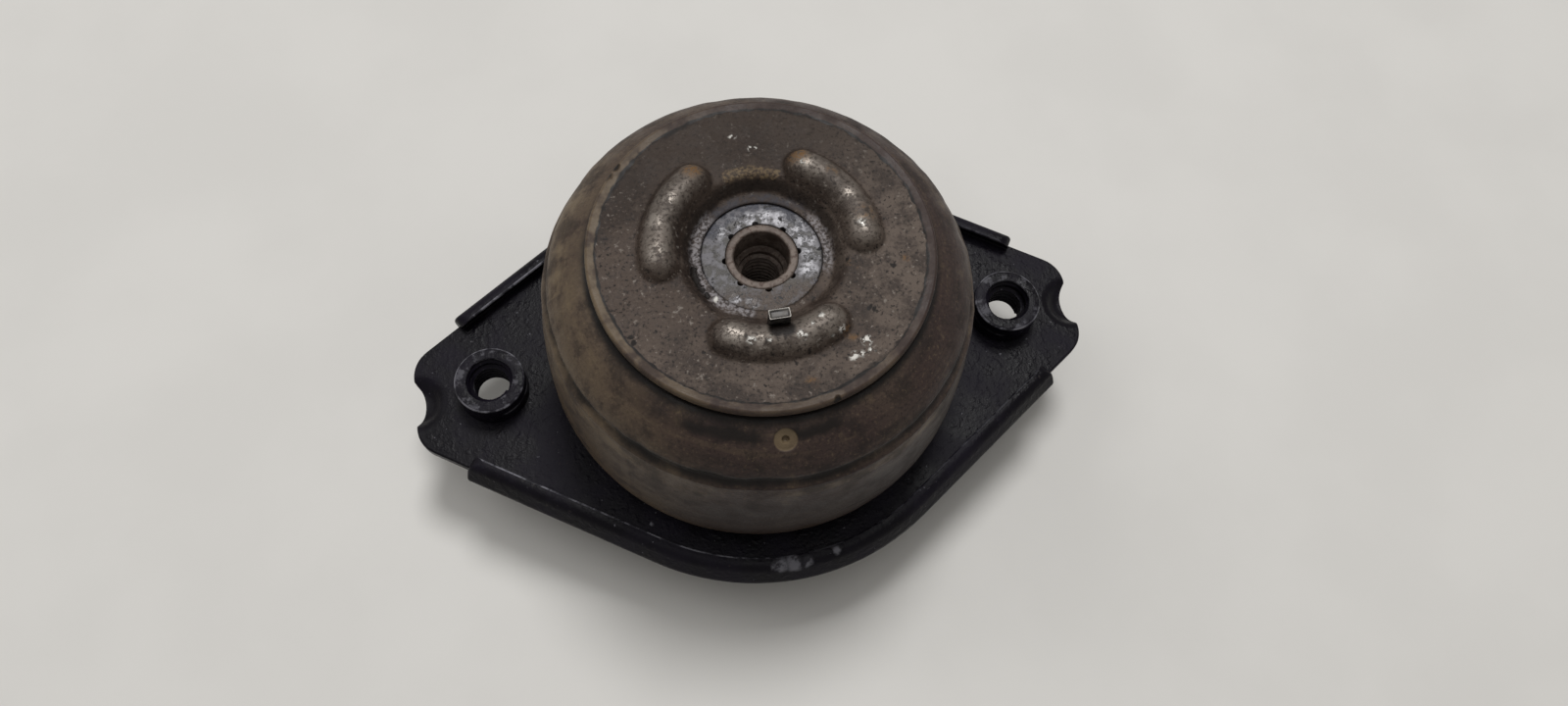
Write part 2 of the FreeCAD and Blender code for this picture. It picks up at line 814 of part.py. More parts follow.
pieces = {
    "flange_plate": flange_plate,
    "boss_left": lambda: boss(boss_places["left"]),
    "boss_right": lambda: boss(boss_places["right"]),
    "outer_ring": outer_ring,
    "ring_weld": ring_weld,
    "base_can": base_can,
    "rolling_diaphragm": rolling_diaphragm,
    "diaphragm_insert": diaphragm_insert,
    "lower_track_plate": lower_track_plate,
    "upper_track_plate": upper_track_plate,
    "decoupler_membrane": decoupler_membrane,
    "main_spring": main_spring,
    "top_cap": top_cap,
    "core": core,
    "core_bush": core_bush,
    "locating_key": locating_key,
}

os.makedirs("parts", exist_ok=True)
for name, make in pieces.items():
    make().exportStep("parts/" + name + ".step")
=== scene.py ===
import math

import bmesh
import bpy
from mathutils import Matrix, Vector, noise


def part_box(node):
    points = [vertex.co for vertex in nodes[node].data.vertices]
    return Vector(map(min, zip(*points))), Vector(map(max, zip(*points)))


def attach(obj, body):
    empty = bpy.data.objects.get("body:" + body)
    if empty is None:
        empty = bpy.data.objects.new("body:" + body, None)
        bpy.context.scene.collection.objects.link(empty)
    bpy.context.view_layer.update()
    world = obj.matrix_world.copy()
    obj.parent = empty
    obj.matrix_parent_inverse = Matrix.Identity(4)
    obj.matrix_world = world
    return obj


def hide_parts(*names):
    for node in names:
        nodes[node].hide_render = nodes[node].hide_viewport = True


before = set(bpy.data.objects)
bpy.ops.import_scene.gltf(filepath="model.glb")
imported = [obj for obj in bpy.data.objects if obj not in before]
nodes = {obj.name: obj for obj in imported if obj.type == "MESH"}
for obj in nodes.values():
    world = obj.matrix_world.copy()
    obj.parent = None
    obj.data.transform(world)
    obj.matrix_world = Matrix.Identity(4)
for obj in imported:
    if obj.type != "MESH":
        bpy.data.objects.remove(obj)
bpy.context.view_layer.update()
print("frame loaded")

mm = 0.001
mergeGap = 0.002 * mm
smooth = {"interpolation_type": "SMOOTHSTEP"}  # MapRange setting: a range with soft ends


# shared helpers
def linearColour(code):
    # sRGB hex to the linear values the shaders work in
    channels = [int(code[i:i + 2], 16) / 255 for i in (1, 3, 5)]
    return [c / 12.92 if c <= 0.04045 else ((c + 0.055) / 1.055) ** 2.4 for c in channels] + [1.0]


def detail(size):
    # texture scale that gives a pattern of this size in millimetres
    return 1 / (size * mm)


def addNode(tree, kind, inputs, output=0, **settings):
    # adds a node with its settings, sets or links its inputs (hex codes are colours) and hands back one output
    node = tree.nodes.new("ShaderNode" + kind)
    for name, value in settings.items():
        setattr(node, name, value)
    for name, value in inputs.items():
        if isinstance(value, str):
            value = linearColour(value)
        if isinstance(value, bpy.types.NodeSocket):
            tree.links.new(value, node.inputs[name])
        else:
            node.inputs[name].default_value = value
    return node.outputs[output]


def startMaterial(name):
    material = bpy.data.materials.new(name)
    material.use_nodes = True
    tree = material.node_tree
    place = addNode(tree, "TexCoord", {}, "Object")
    return material, tree, tree.nodes["Principled BSDF"], place


def wear(piece, material):
    # puts a material in every slot of a node or a new piece
    if not piece.data.materials:
        piece.data.materials.append(material)
    for i in range(len(piece.data.materials)):
        piece.data.materials[i] = material


def finishMesh(name, bm, sharpAngle=35):
    # merges, turns the faces outwards and makes the object
    bmesh.ops.remove_doubles(bm, verts=bm.verts, dist=mergeGap)
    bmesh.ops.recalc_face_normals(bm, faces=bm.faces)
    mesh = bpy.data.meshes.new(name)
    bm.to_mesh(mesh)
    bm.free()
    for face in mesh.polygons:
        face.use_smooth = True
    mesh.set_sharp_from_angle(angle=math.radians(sharpAngle))
    piece = bpy.data.objects.new(name, mesh)
    bpy.context.collection.objects.link(piece)
    return piece


def spinProfile(bm, corners, steps, middle=(0, 0, 0), segments=8):
    # a closed section of (radius, height, corner reach) in millimetres, its corners bevelled, spun about Z
    points = [bm.verts.new((c[0] * mm + middle[0], middle[1], c[1] * mm)) for c in corners]
    for i, point in enumerate(points):
        bm.edges.new((points[i - 1], point))
    for point, corner in zip(points, corners):
        if len(corner) > 2:
            bmesh.ops.bevel(bm, geom=[point], offset=corner[2] * mm, segments=segments, profile=0.5,
                            affect="VERTICES", material=-1)
    section = [v for v in bm.verts if v.is_wire]
    # each edge once
    edges = list(dict.fromkeys(e for v in section for e in v.link_edges))
    bmesh.ops.spin(bm, geom=section + edges, cent=middle, axis=(0, 0, 1), angle=2 * math.pi, steps=steps,
                   use_merge=True)


def spinCoil(bm, section, pitch, turns, middle=(0, 0, 0), stepsPerTurn=48):
    # one thread ridge: a closed section wound up a helix
    points = [bm.verts.new((r * mm + middle[0], middle[1], z * mm)) for r, z in section]
    face = bm.faces.new(points)
    bmesh.ops.spin(bm, geom=[face], cent=middle, axis=(0, 0, 1), angle=2 * math.pi * turns,
                   dvec=(0, 0, pitch * mm / stepsPerTurn), steps=int(turns * stepsPerTurn))


# camera
cameraSetup = {
    "place": (-26.09, -105.23, 275.56),
    "right": (0.98077639, -0.18800982, 0.05224916),
    "up": (0.15273384, 0.90628173, 0.39411395),
    "forward": (0.12144975, 0.37855744, -0.91757519),
    "lens": 24.75,
    "sensor": 36,
    "clip": (0.01, 20),
}


def placeCamera(setup):
    data = bpy.data.cameras.new("studioCamera")
    data.sensor_fit = "HORIZONTAL"
    data.sensor_width = setup["sensor"]
    data.lens = setup["lens"]
    data.clip_start, data.clip_end = setup["clip"]
    camera = bpy.data.objects.new("studioCamera", data)
    bpy.context.collection.objects.link(camera)
    turn = Matrix((setup["right"], setup["up"], [-c for c in setup["forward"]])).transposed()
    camera.matrix_world = Matrix.Translation(Vector(setup["place"]) * mm) @ turn.to_4x4()
    bpy.context.scene.camera = camera


placeCamera(cameraSetup)
print("camera placed")


# studio: table, lamps and world
studio = {
    "tableColour": "#d3d1cd",
    "tableShade": "#cfcdc9",
    "tableSize": 6.0,
    "tableRoughness": 0.55,
    "tableSpecular": 0.3,
    "worldColour": "#dedcd8",
    "worldLight": 0.33,
    "worldShine": 0.75,
    "aim": (0, 0, 0.04),
    "lamps": [
        # name, direction from the middle, distance, size across, power
        ("keyLamp", (0.13, 0.38, 0.91), 2.6, 0.9, 37.0),
        ("leftLamp", (-0.60, 0.42, 0.68), 2.6, 1.4, 9.0),
        ("topLamp", (-0.05, 0.0, 1.0), 2.4, 1.8, 10.0),
    ],
}


def buildStudio(setup):
    bm = bmesh.new()
    bmesh.ops.create_grid(bm, x_segments=1, y_segments=1, size=setup["tableSize"] / 2)
    table = finishMesh("tableTop", bm)
    material, tree, shader, place = startMaterial("laminateTable")  # pale laminate, slightly clouded
    smudge = addNode(tree, "TexNoise", {"Vector": place, "Scale": detail(60), "Detail": 5.0})
    share = addNode(tree, "MapRange", {0: smudge, 1: 0.35, 2: 0.65}, **smooth)
    colour = addNode(tree, "Mix", {0: share, 6: setup["tableColour"], 7: setup["tableShade"]}, 2, data_type="RGBA")
    tree.links.new(colour, shader.inputs["Base Color"])
    shader.inputs["Roughness"].default_value = setup["tableRoughness"]
    shader.inputs["Specular IOR Level"].default_value = setup["tableSpecular"]
    wear(table, material)
    for name, direction, distance, size, power in setup["lamps"]:
        data = bpy.data.lights.new(name, "AREA")
        data.shape = "DISK"
        data.size = size
        data.energy = power
        lamp = bpy.data.objects.new(name, data)
        bpy.context.collection.objects.link(lamp)
        away = Vector(direction).normalized()
        lamp.location = away * distance + Vector(setup["aim"])
        lamp.rotation_mode = "QUATERNION"
        lamp.rotation_quaternion = away.to_track_quat("Z", "Y")
    world = bpy.data.worlds.new("studioWorld")
    world.use_nodes = True
    bpy.context.scene.world = world
    tree = world.node_tree
    path = addNode(tree, "LightPath", {}).node
    seen = addNode(tree, "Math", {0: path.outputs["Is Camera Ray"], 1: path.outputs["Is Glossy Ray"]},
                   operation="MAXIMUM")
    seen = addNode(tree, "Math", {0: seen, 1: path.outputs["Is Transmission Ray"]}, operation="MAXIMUM")
    strength = addNode(tree, "MapRange",
                       {"Value": seen, "To Min": setup["worldLight"], "To Max": setup["worldShine"]}, "Result")
    background = tree.nodes["Background"]
    background.inputs["Color"].default_value = linearColour(setup["worldColour"])
    tree.links.new(strength, background.inputs["Strength"])
    bpy.context.scene.view_settings.view_transform = "Standard"


buildStudio(studio)
print("studio built")


# materials
def axesOf(tree, place):
    return addNode(tree, "SeparateXYZ", {"Vector": place}).node.outputs


def polar(tree, place):
    # the distance from the drum's axis and the angle round it
    x, y = axesOf(tree, place)[:2]
    flat = addNode(tree, "CombineXYZ", {"X": x, "Y": y})
    radius = addNode(tree, "VectorMath", {0: flat}, "Value", operation="LENGTH")
    return radius, addNode(tree, "Math", {0: y, 1: x}, operation="ARCTAN2")


def tornPlace(tree, place, size, reach):
    # the place shaken by noise, so that masks made from it get torn edges
    shake = addNode(tree, "TexNoise", {"Vector": place, "Scale": detail(size), "Detail": 3.0}, "Color")
    shake = addNode(tree, "VectorMath", {0: shake, 1: (0.5, 0.5, 0.5)}, operation="SUBTRACT")
    shake = addNode(tree, "VectorMath", {0: shake, "Scale": 2 * reach * mm}, operation="SCALE")
    return addNode(tree, "VectorMath", {0: place, 1: shake}, operation="ADD")


def spots(tree, place, places, soft=0.4):
    # share that is 1 within the reach of any of the places (x, y, z, reach) in millimetres
    total = 0.0
    for px, py, pz, reach in places:
        away = addNode(tree, "VectorMath", {0: place, 1: (px * mm, py * mm, pz * mm)}, "Value", operation="DISTANCE")
        share = addNode(tree, "MapRange", {0: away, 1: reach * mm, 2: reach * soft * mm}, **smooth)
        total = addNode(tree, "Math", {0: share, 1: total}, operation="MAXIMUM")
    return total


def arcs(tree, angle, height, places):
    # share that is 1 along level arcs: middle angle, half span in degrees, height, half width in millimetres
    total = 0.0
    for middle, span, level, width in places:
        turn = addNode(tree, "Math", {0: angle, 1: math.radians(middle)}, operation="SUBTRACT")
        turn = addNode(tree, "Math", {0: turn}, operation="ABSOLUTE")
        rise = addNode(tree, "Math", {0: height, 1: level * mm}, operation="SUBTRACT")
        rise = addNode(tree, "Math", {0: rise}, operation="ABSOLUTE")
        share = addNode(tree, "MapRange", {0: turn, 1: math.radians(span), 2: math.radians(span * 0.6)}, **smooth)
        fade = addNode(tree, "MapRange", {0: rise, 1: width * mm, 2: width * 0.2 * mm}, **smooth)
        arc = addNode(tree, "Math", {0: share, 1: fade}, operation="MULTIPLY")
        total = addNode(tree, "Math", {0: arc, 1: total}, operation="MAXIMUM")
    return total


def between(tree, value, limits):
    # share that is 1 between two soft limits in millimetres: where it starts and is full, ends and is full
    (start, risen), (end, falling) = limits
    share = addNode(tree, "MapRange", {0: value, 1: start * mm, 2: risen * mm}, **smooth)
    fade = addNode(tree, "MapRange", {0: value, 1: end * mm, 2: falling * mm}, **smooth)
    return addNode(tree, "Math", {0: share, 1: fade}, operation="MULTIPLY")


def layColours(tree, colour, patterns, layers, look):
    # lays colours over one another: pattern, its value where a layer starts and where it is full, share, colour
    for pattern, start, full, most, name in layers:
        share = addNode(tree, "MapRange", {0: patterns[pattern], 1: start, 2: full, 3: 0.0, 4: most}, **smooth)
        colour = addNode(tree, "Mix", {0: share, 6: colour, 7: look[name]}, 2, data_type="RGBA")
    return colour


def finishSurface(tree, shader, colour, roughness, height, softness=0):
    # height and softness are in millimetres, softness rounds the shading of pressed corners
    tree.links.new(colour, shader.inputs["Base Color"])
    tree.links.new(roughness, shader.inputs["Roughness"])
    bump = addNode(tree, "Bump", {"Height": height, "Distance": mm})
    if softness:
        tree.links.new(addNode(tree, "Bevel", {"Radius": softness * mm}, samples=6), bump.node.inputs["Normal"])
    tree.links.new(bump, shader.inputs["Normal"])


# middle of the mark where the mould let the rubber in, in millimetres
gatePlace = (-2.47, -40.3, 73.4)

rubberLook = {
    "black": "#1b1514",
    "brown": "#352926",
    "dust": "#463a32",
    "tan": "#6d5e49",
    "stain": "#100b09",
    "wiped": "#1d1310",
    "specular": 0.2,
    "groove": ((73.9, 75.3), (77.4, 76.9)),
    "layers": [
        ("clouds", 0.4, 0.62, 1.0, "dust"), ("bands", 0.5, 0.66, 0.35, "black"),
        ("bands", 0.46, 0.36, 0.15, "tan"), ("smudges", 0.5, 0.66, 0.65, "black"),
        ("smudges", 0.42, 0.3, 0.3, "tan"), ("grain", 0.5, 0.68, 0.55, "black"),
        ("grain", 0.42, 0.3, 0.3, "tan"),
    ],
    # dark stains: middle angle, half span in degrees, height and half width in millimetres
    "creep": [(-112, 15, 73.8, 1.2), (-86, 12, 73.9, 1.1), (-118, 26, 65.4, 2.6), (-88, 14, 65.2, 1.7),
              (-60, 9, 66.2, 1.3), (-38, 8, 67.0, 1.0), (150, 22, 65.4, 1.4), (20, 25, 65.4, 1.2)],
    # tan in level bands: dust, and painted highlight bands on the left shoulder and below the crease
    "dustBands": [(175, 50, 70.0, 3.5), (-150, 30, 60.5, 3.0), (-110, 40, 34.0, 1.2), (-70, 30, 61.0, 2.0),
                  (-95, 75, 27.0, 1.8)],
    "parting": [(-45, 45, 42.5, 0.6), (-52, 32, 38.8, 0.5), (-160, 20, 42.5, 0.5)],
    # slits and nicks: x, y, z and reach in millimetres
    "nicks": [(-46.6, -15.0, 42.5, 1.2), (-45.6, -18.3, 42.5, 1.3), (-48.8, -8.5, 42.5, 1.0), (-29, 22, 78, 1.7),
              (-27.5, 24, 78.6, 1.4), (8.5, -35.5, 78.6, 1.2), (44.5, -20.5, 42.5, 1.0), (46.0, -16.5, 42.0, 0.9)],
    "gateRadius": 2.6,
    "gateHole": 0.95,
}


def makeRubber(look):
    # natural rubber, moulded: satin brown-black under baked road dust, with dark stains in bands, painted shade in its
    # groove, seam and crease, and painted highlight bands
    material, tree, shader, place = startMaterial("mouldedRubber")
    x, y, z = axesOf(tree, place)
    radius, angle = polar(tree, place)
    torn = tornPlace(tree, place, 2.5, 0.6)
    tornZ = axesOf(tree, torn)[2]
    tornRadius, tornAngle = polar(tree, torn)
    clouds = addNode(tree, "TexNoise", {"Vector": place, "Scale": detail(24), "Detail": 4.0})
    smudges = addNode(tree, "TexNoise", {"Vector": place, "Scale": detail(6), "Detail": 6.0, "Roughness": 0.6})
    # dust grains, drawn about three times as coarse as they are
    grain = addNode(tree, "TexNoise", {"Vector": place, "Scale": detail(0.7), "Detail": 3.0, "Roughness": 0.6})
    # flow lines of the moulding run round the drum
    share = addNode(tree, "Math", {0: angle, 1: 4 * mm}, operation="MULTIPLY")
    flow = addNode(tree, "CombineXYZ", {"X": share, "Y": radius, "Z": z})
    bands = addNode(tree, "TexNoise", {"Vector": flow, "Scale": detail(2.2), "Detail": 4.0, "Roughness": 0.55})
    patterns = {"clouds": clouds, "bands": bands, "smudges": smudges, "grain": grain}
    colour = layColours(tree, look["brown"], patterns, look["layers"], look)
    # tan bands of dust and painted highlight
    band = arcs(tree, tornAngle, tornZ, look["dustBands"])
    share = addNode(tree, "MapRange", {0: smudges, 1: 0.6, 2: 0.4, 3: 0.1, 4: 0.6}, **smooth)
    share = addNode(tree, "Math", {0: band, 1: share}, operation="MULTIPLY")
    colour = addNode(tree, "Mix", {0: share, 6: colour, 7: look["tan"]}, 2, data_type="RGBA")
    # rubbed rim, tan where the dust still sits on it, mostly along its left and its front
    top = addNode(tree, "MapRange", {0: z, 1: 77.0 * mm, 2: 77.6 * mm}, **smooth)
    share = addNode(tree, "Math", {0: top, 1: 0.6}, operation="MULTIPLY")
    colour = addNode(tree, "Mix", {0: share, 6: colour, 7: look["brown"]}, 2, data_type="RGBA")
    share = addNode(tree, "MapRange", {0: x, 1: 0.0, 2: -28 * mm}, **smooth)
    fade = addNode(tree, "MapRange", {0: y, 1: -18 * mm, 2: -32 * mm, 3: 0.0, 4: 0.5}, **smooth)
    side = addNode(tree, "Math", {0: share, 1: fade}, operation="MAXIMUM")
    share = addNode(tree, "Math", {0: top, 1: side}, operation="MULTIPLY")
    fade = addNode(tree, "MapRange", {0: smudges, 1: 0.6, 2: 0.44, 3: 0.05, 4: 0.5}, **smooth)
    rim = addNode(tree, "Math", {0: share, 1: fade}, operation="MULTIPLY")
    colour = addNode(tree, "Mix", {0: rim, 6: colour, 7: look["tan"]}, 2, data_type="RGBA")
    # the left side is tanner: more of its dust, and painted light
    share = addNode(tree, "MapRange", {0: x, 1: -12 * mm, 2: -45 * mm}, **smooth)
    fade = addNode(tree, "MapRange", {0: smudges, 1: 0.62, 2: 0.4, 3: 0.1, 4: 0.4}, **smooth)
    left = addNode(tree, "Math", {0: share, 1: fade}, operation="MULTIPLY")
    colour = addNode(tree, "Mix", {0: left, 6: colour, 7: look["tan"]}, 2, data_type="RGBA")
    # painted shade: the side below the crease is darker, mostly at the front and the right
    share = addNode(tree, "MapRange", {0: z, 1: 62 * mm, 2: 50 * mm}, **smooth)
    fade = addNode(tree, "MapRange", {0: x, 1: -38 * mm, 2: -14 * mm, 3: 0.15, 4: 0.75}, **smooth)
    low = addNode(tree, "Math", {0: share, 1: fade}, operation="MULTIPLY")
    share = addNode(tree, "MapRange", {0: z, 1: 26 * mm, 2: 30 * mm}, **smooth)
    share = addNode(tree, "Math", {0: low, 1: share}, operation="MULTIPLY")
    colour = addNode(tree, "Mix", {0: share, 6: colour, 7: look["wiped"]}, 2, data_type="RGBA")
    # painted shade in the groove under the rim and in the seam round the cap
    groove = between(tree, z, look["groove"])
    share = addNode(tree, "MapRange", {0: tornRadius, 1: 38.6 * mm, 2: 36.8 * mm}, **smooth)
    groove = addNode(tree, "Math", {0: groove, 1: share}, operation="MULTIPLY")
    colour = addNode(tree, "Mix", {0: groove, 6: colour, 7: look["stain"]}, 2, data_type="RGBA")
    share = addNode(tree, "MapRange", {0: tornRadius, 1: 34.9 * mm, 2: 34.5 * mm}, **smooth)
    fade = addNode(tree, "MapRange", {0: z, 1: 77.6 * mm, 2: 78.0 * mm}, **smooth)
    seam = addNode(tree, "Math", {0: share, 1: fade}, operation="MULTIPLY")
    colour = addNode(tree, "Mix", {0: seam, 6: colour, 7: look["stain"]}, 2, data_type="RGBA")
    # painted shade as a dark line along the crease all round, then the dark stains
    share = addNode(tree, "Math", {0: tornZ, 1: 65.4 * mm}, operation="SUBTRACT")
    crease = addNode(tree, "Math", {0: share}, operation="ABSOLUTE")
    share = addNode(tree, "MapRange", {0: crease, 1: 1.9 * mm, 2: 0.3 * mm}, **smooth)
    fade = addNode(tree, "MapRange", {0: smudges, 1: 0.34, 2: 0.56, 3: 0.35, 4: 0.9}, **smooth)
    crease = addNode(tree, "Math", {0: share, 1: fade}, operation="MULTIPLY")
    colour = addNode(tree, "Mix", {0: crease, 6: colour, 7: look["stain"]}, 2, data_type="RGBA")
    share = addNode(tree, "MapRange", {0: smudges, 1: 0.3, 2: 0.5, 3: 0.6, 4: 0.95}, **smooth)
    creep = addNode(tree, "Math", {0: arcs(tree, tornAngle, tornZ, look["creep"]), 1: share}, operation="MULTIPLY")
    colour = addNode(tree, "Mix", {0: creep, 6: colour, 7: look["stain"]}, 2, data_type="RGBA")
    nicks = spots(tree, torn, look["nicks"], 0.5)
    colour = addNode(tree, "Mix", {0: nicks, 6: colour, 7: look["stain"]}, 2, data_type="RGBA")
    # parting line of the mould, torn and dirty, with a second line under it
    parting = arcs(tree, tornAngle, tornZ, look["parting"])
    share = addNode(tree, "MapRange", {0: smudges, 1: 0.4, 2: 0.55, 3: 0.2, 4: 0.9}, **smooth)
    parting = addNode(tree, "Math", {0: parting, 1: share}, operation="MULTIPLY")
    colour = addNode(tree, "Mix", {0: parting, 6: colour, 7: look["stain"]}, 2, data_type="RGBA")
    # the gate mark, where the rubber was let in, has stayed pale round its hole
    gate = spots(tree, place, [(*gatePlace, look["gateRadius"])], 0.85)
    share = addNode(tree, "MapRange", {0: smudges, 1: 0.3, 2: 0.6, 3: 0.95, 4: 0.6}, **smooth)
    share = addNode(tree, "Math", {0: gate, 1: share}, operation="MULTIPLY")
    colour = addNode(tree, "Mix", {0: share, 6: colour, 7: look["tan"]}, 2, data_type="RGBA")
    # painted shade in the gate's pit
    hole = spots(tree, tornPlace(tree, place, 1.2, 0.3), [(*gatePlace, look["gateHole"])], 0.6)
    colour = addNode(tree, "Mix", {0: hole, 6: colour, 7: look["stain"]}, 2, data_type="RGBA")
    roughness = addNode(tree, "MapRange", {0: smudges, 1: 0.35, 2: 0.65, 3: 0.42, 4: 0.6}, **smooth)
    share = addNode(tree, "Math", {0: grain, 1: 0.09}, operation="MULTIPLY")
    fade = addNode(tree, "Math", {0: bands, 1: 0.14}, operation="MULTIPLY")
    height = addNode(tree, "Math", {0: share, 1: fade}, operation="ADD")
    share = addNode(tree, "Math", {0: nicks, 1: 0.5}, operation="MULTIPLY")
    height = addNode(tree, "Math", {0: height, 1: share}, operation="SUBTRACT")
    share = addNode(tree, "Math", {0: parting, 1: 0.2}, operation="MULTIPLY")
    height = addNode(tree, "Math", {0: height, 1: share}, operation="SUBTRACT")
    finishSurface(tree, shader, colour, roughness, height)
    shader.inputs["Specular IOR Level"].default_value = look["specular"]
    return material


capLook = {
    "brown": "#2b211b",
    "grey": "#443932",
    "pale": "#5e534b",
    "tan": "#66563f",
    "pit": "#120c09",
    "bright": "#7d766f",
    "rust": "#63482a",
    "white": "#c9c6c0",
    "crustColour": "#827e80",
    "filmColour": "#2f3038",
    "back": "#241a13",
    "specular": 0.24,
    "cornerSoftness": 1.1,
    "wall": ((75.6, 76.2), (78.8, 77.4)),
    "foot": ((78.92, 79.05), (80.4, 79.2)),
    "ground": [
        ("clouds", 0.4, 0.6, 1.0, "grey"), ("patches", 0.52, 0.7, 0.5, "pale"),
        ("patches", 0.46, 0.34, 0.6, "brown"),
    ],
    "freckles": [
        ("freckle", 0.54, 0.68, 0.8, "pit"), ("freckle", 0.42, 0.28, 0.6, "pale"),
        ("specks", 0.62, 0.68, 0.85, "pit"), ("specks", 0.38, 0.3, 0.6, "bright"),
    ],
    # rust, bright rubs with painted highlights on them, and white oxide flecks: x, y, z and reach in millimetres
    "rustSpots": [(-11.7, 19.0, 82, 3.2), (11.0, 19.6, 82, 4.0), (17.6, 14.0, 82, 2.2), (22.4, 3.0, 82, 3.2),
                  (29.0, -7.1, 78.9, 1.2), (17.6, -7.0, 78.9, 1.8), (14.0, -22.0, 79.5, 2.5), (4.0, -31.5, 78.9, 2.0)],
    "rubs": [(-21.4, 0.4, 82, 4.5), (-21.4, 8.0, 82, 3.5), (-17.3, 12.5, 82, 3.0), (12.0, 17.0, 82, 3.5),
             (20.8, 0.8, 82, 4.0), (19.5, 8.0, 82, 3.0), (-9.6, -19.7, 82, 4.5), (-4.5, -21.8, 82, 2.0)],
    "flecks": [(-6.2, -21.8, 82.2, 1.2), (-2.9, -22.1, 82.2, 0.8), (3.9, -22.4, 82.3, 1.5), (10.3, -23.6, 81.5, 1.6),
               (12.6, -22.2, 81, 1.5), (8.6, -18.6, 82, 0.9), (6.4, -20.2, 82.3, 0.7), (21.0, 0.8, 82, 1.2),
               (11.8, 17.2, 82, 1.0), (13.6, -27.1, 78.9, 1.3), (15.2, -26.8, 78.9, 1.1), (16.8, -24.1, 78.9, 1.6),
               (17.4, -26.4, 78.9, 1.0), (-1.6, 27.8, 78.9, 1.0), (1.6, 24.5, 78.9, 0.8), (3.0, 24.5, 78.9, 0.7),
               (-11.1, -8.7, 75.6, 1.0)],
    # painted shadow of the key on the hump in front of it
    "grime": [(-0.8, -20.2, 82, 2.4), (1.0, -20.4, 82, 2.4)],
    "dots": [(25.9, -8.5, 78.9, 0.7), (19.0, -17.0, 78.9, 0.8), (20.0, -17.4, 78.9, 0.6), (-29.6, -15.8, 78.9, 0.8),
             (-29.0, -17.0, 78.9, 0.8), (17.0, -5.6, 78.9, 0.8)],
    "bar": [(-3.8, 18.3, 78.9, 1.9), (-1.4, 18.6, 78.9, 1.9), (1.2, 18.5, 78.9, 1.9), (3.6, 18.0, 78.9, 1.9),
            (5.6, 17.3, 78.9, 1.6)],
    "crack": [(-14.9, -1.2, 75.6, 1.1), (-14.8, -2.4, 75.6, 1.1), (-14.6, -3.6, 75.6, 1.1), (-14.2, -4.8, 75.6, 1.0),
              (-13.7, -6.0, 75.6, 1.0), (-13.0, -7.4, 75.6, 0.9)],
    # grey crust on the floor of the dish: middle angle, half span in degrees, radius and half width in millimetres
    "crust": [(158, 34, 13.9, 2.2), (-152, 36, 13.9, 2.0), (-118, 14, 13.6, 1.5), (5, 36, 13.8, 1.8)],
    "film": [(85, 60, 13.8, 1.8)],
    # arcs where the painted shade in the seam is wider
    "tears": [(112, 9, 34.3, 1.2), (142, 8, 34.4, 1.2), (60, 12, 34.4, 0.8), (-62, 8, 34.3, 0.9)],
}


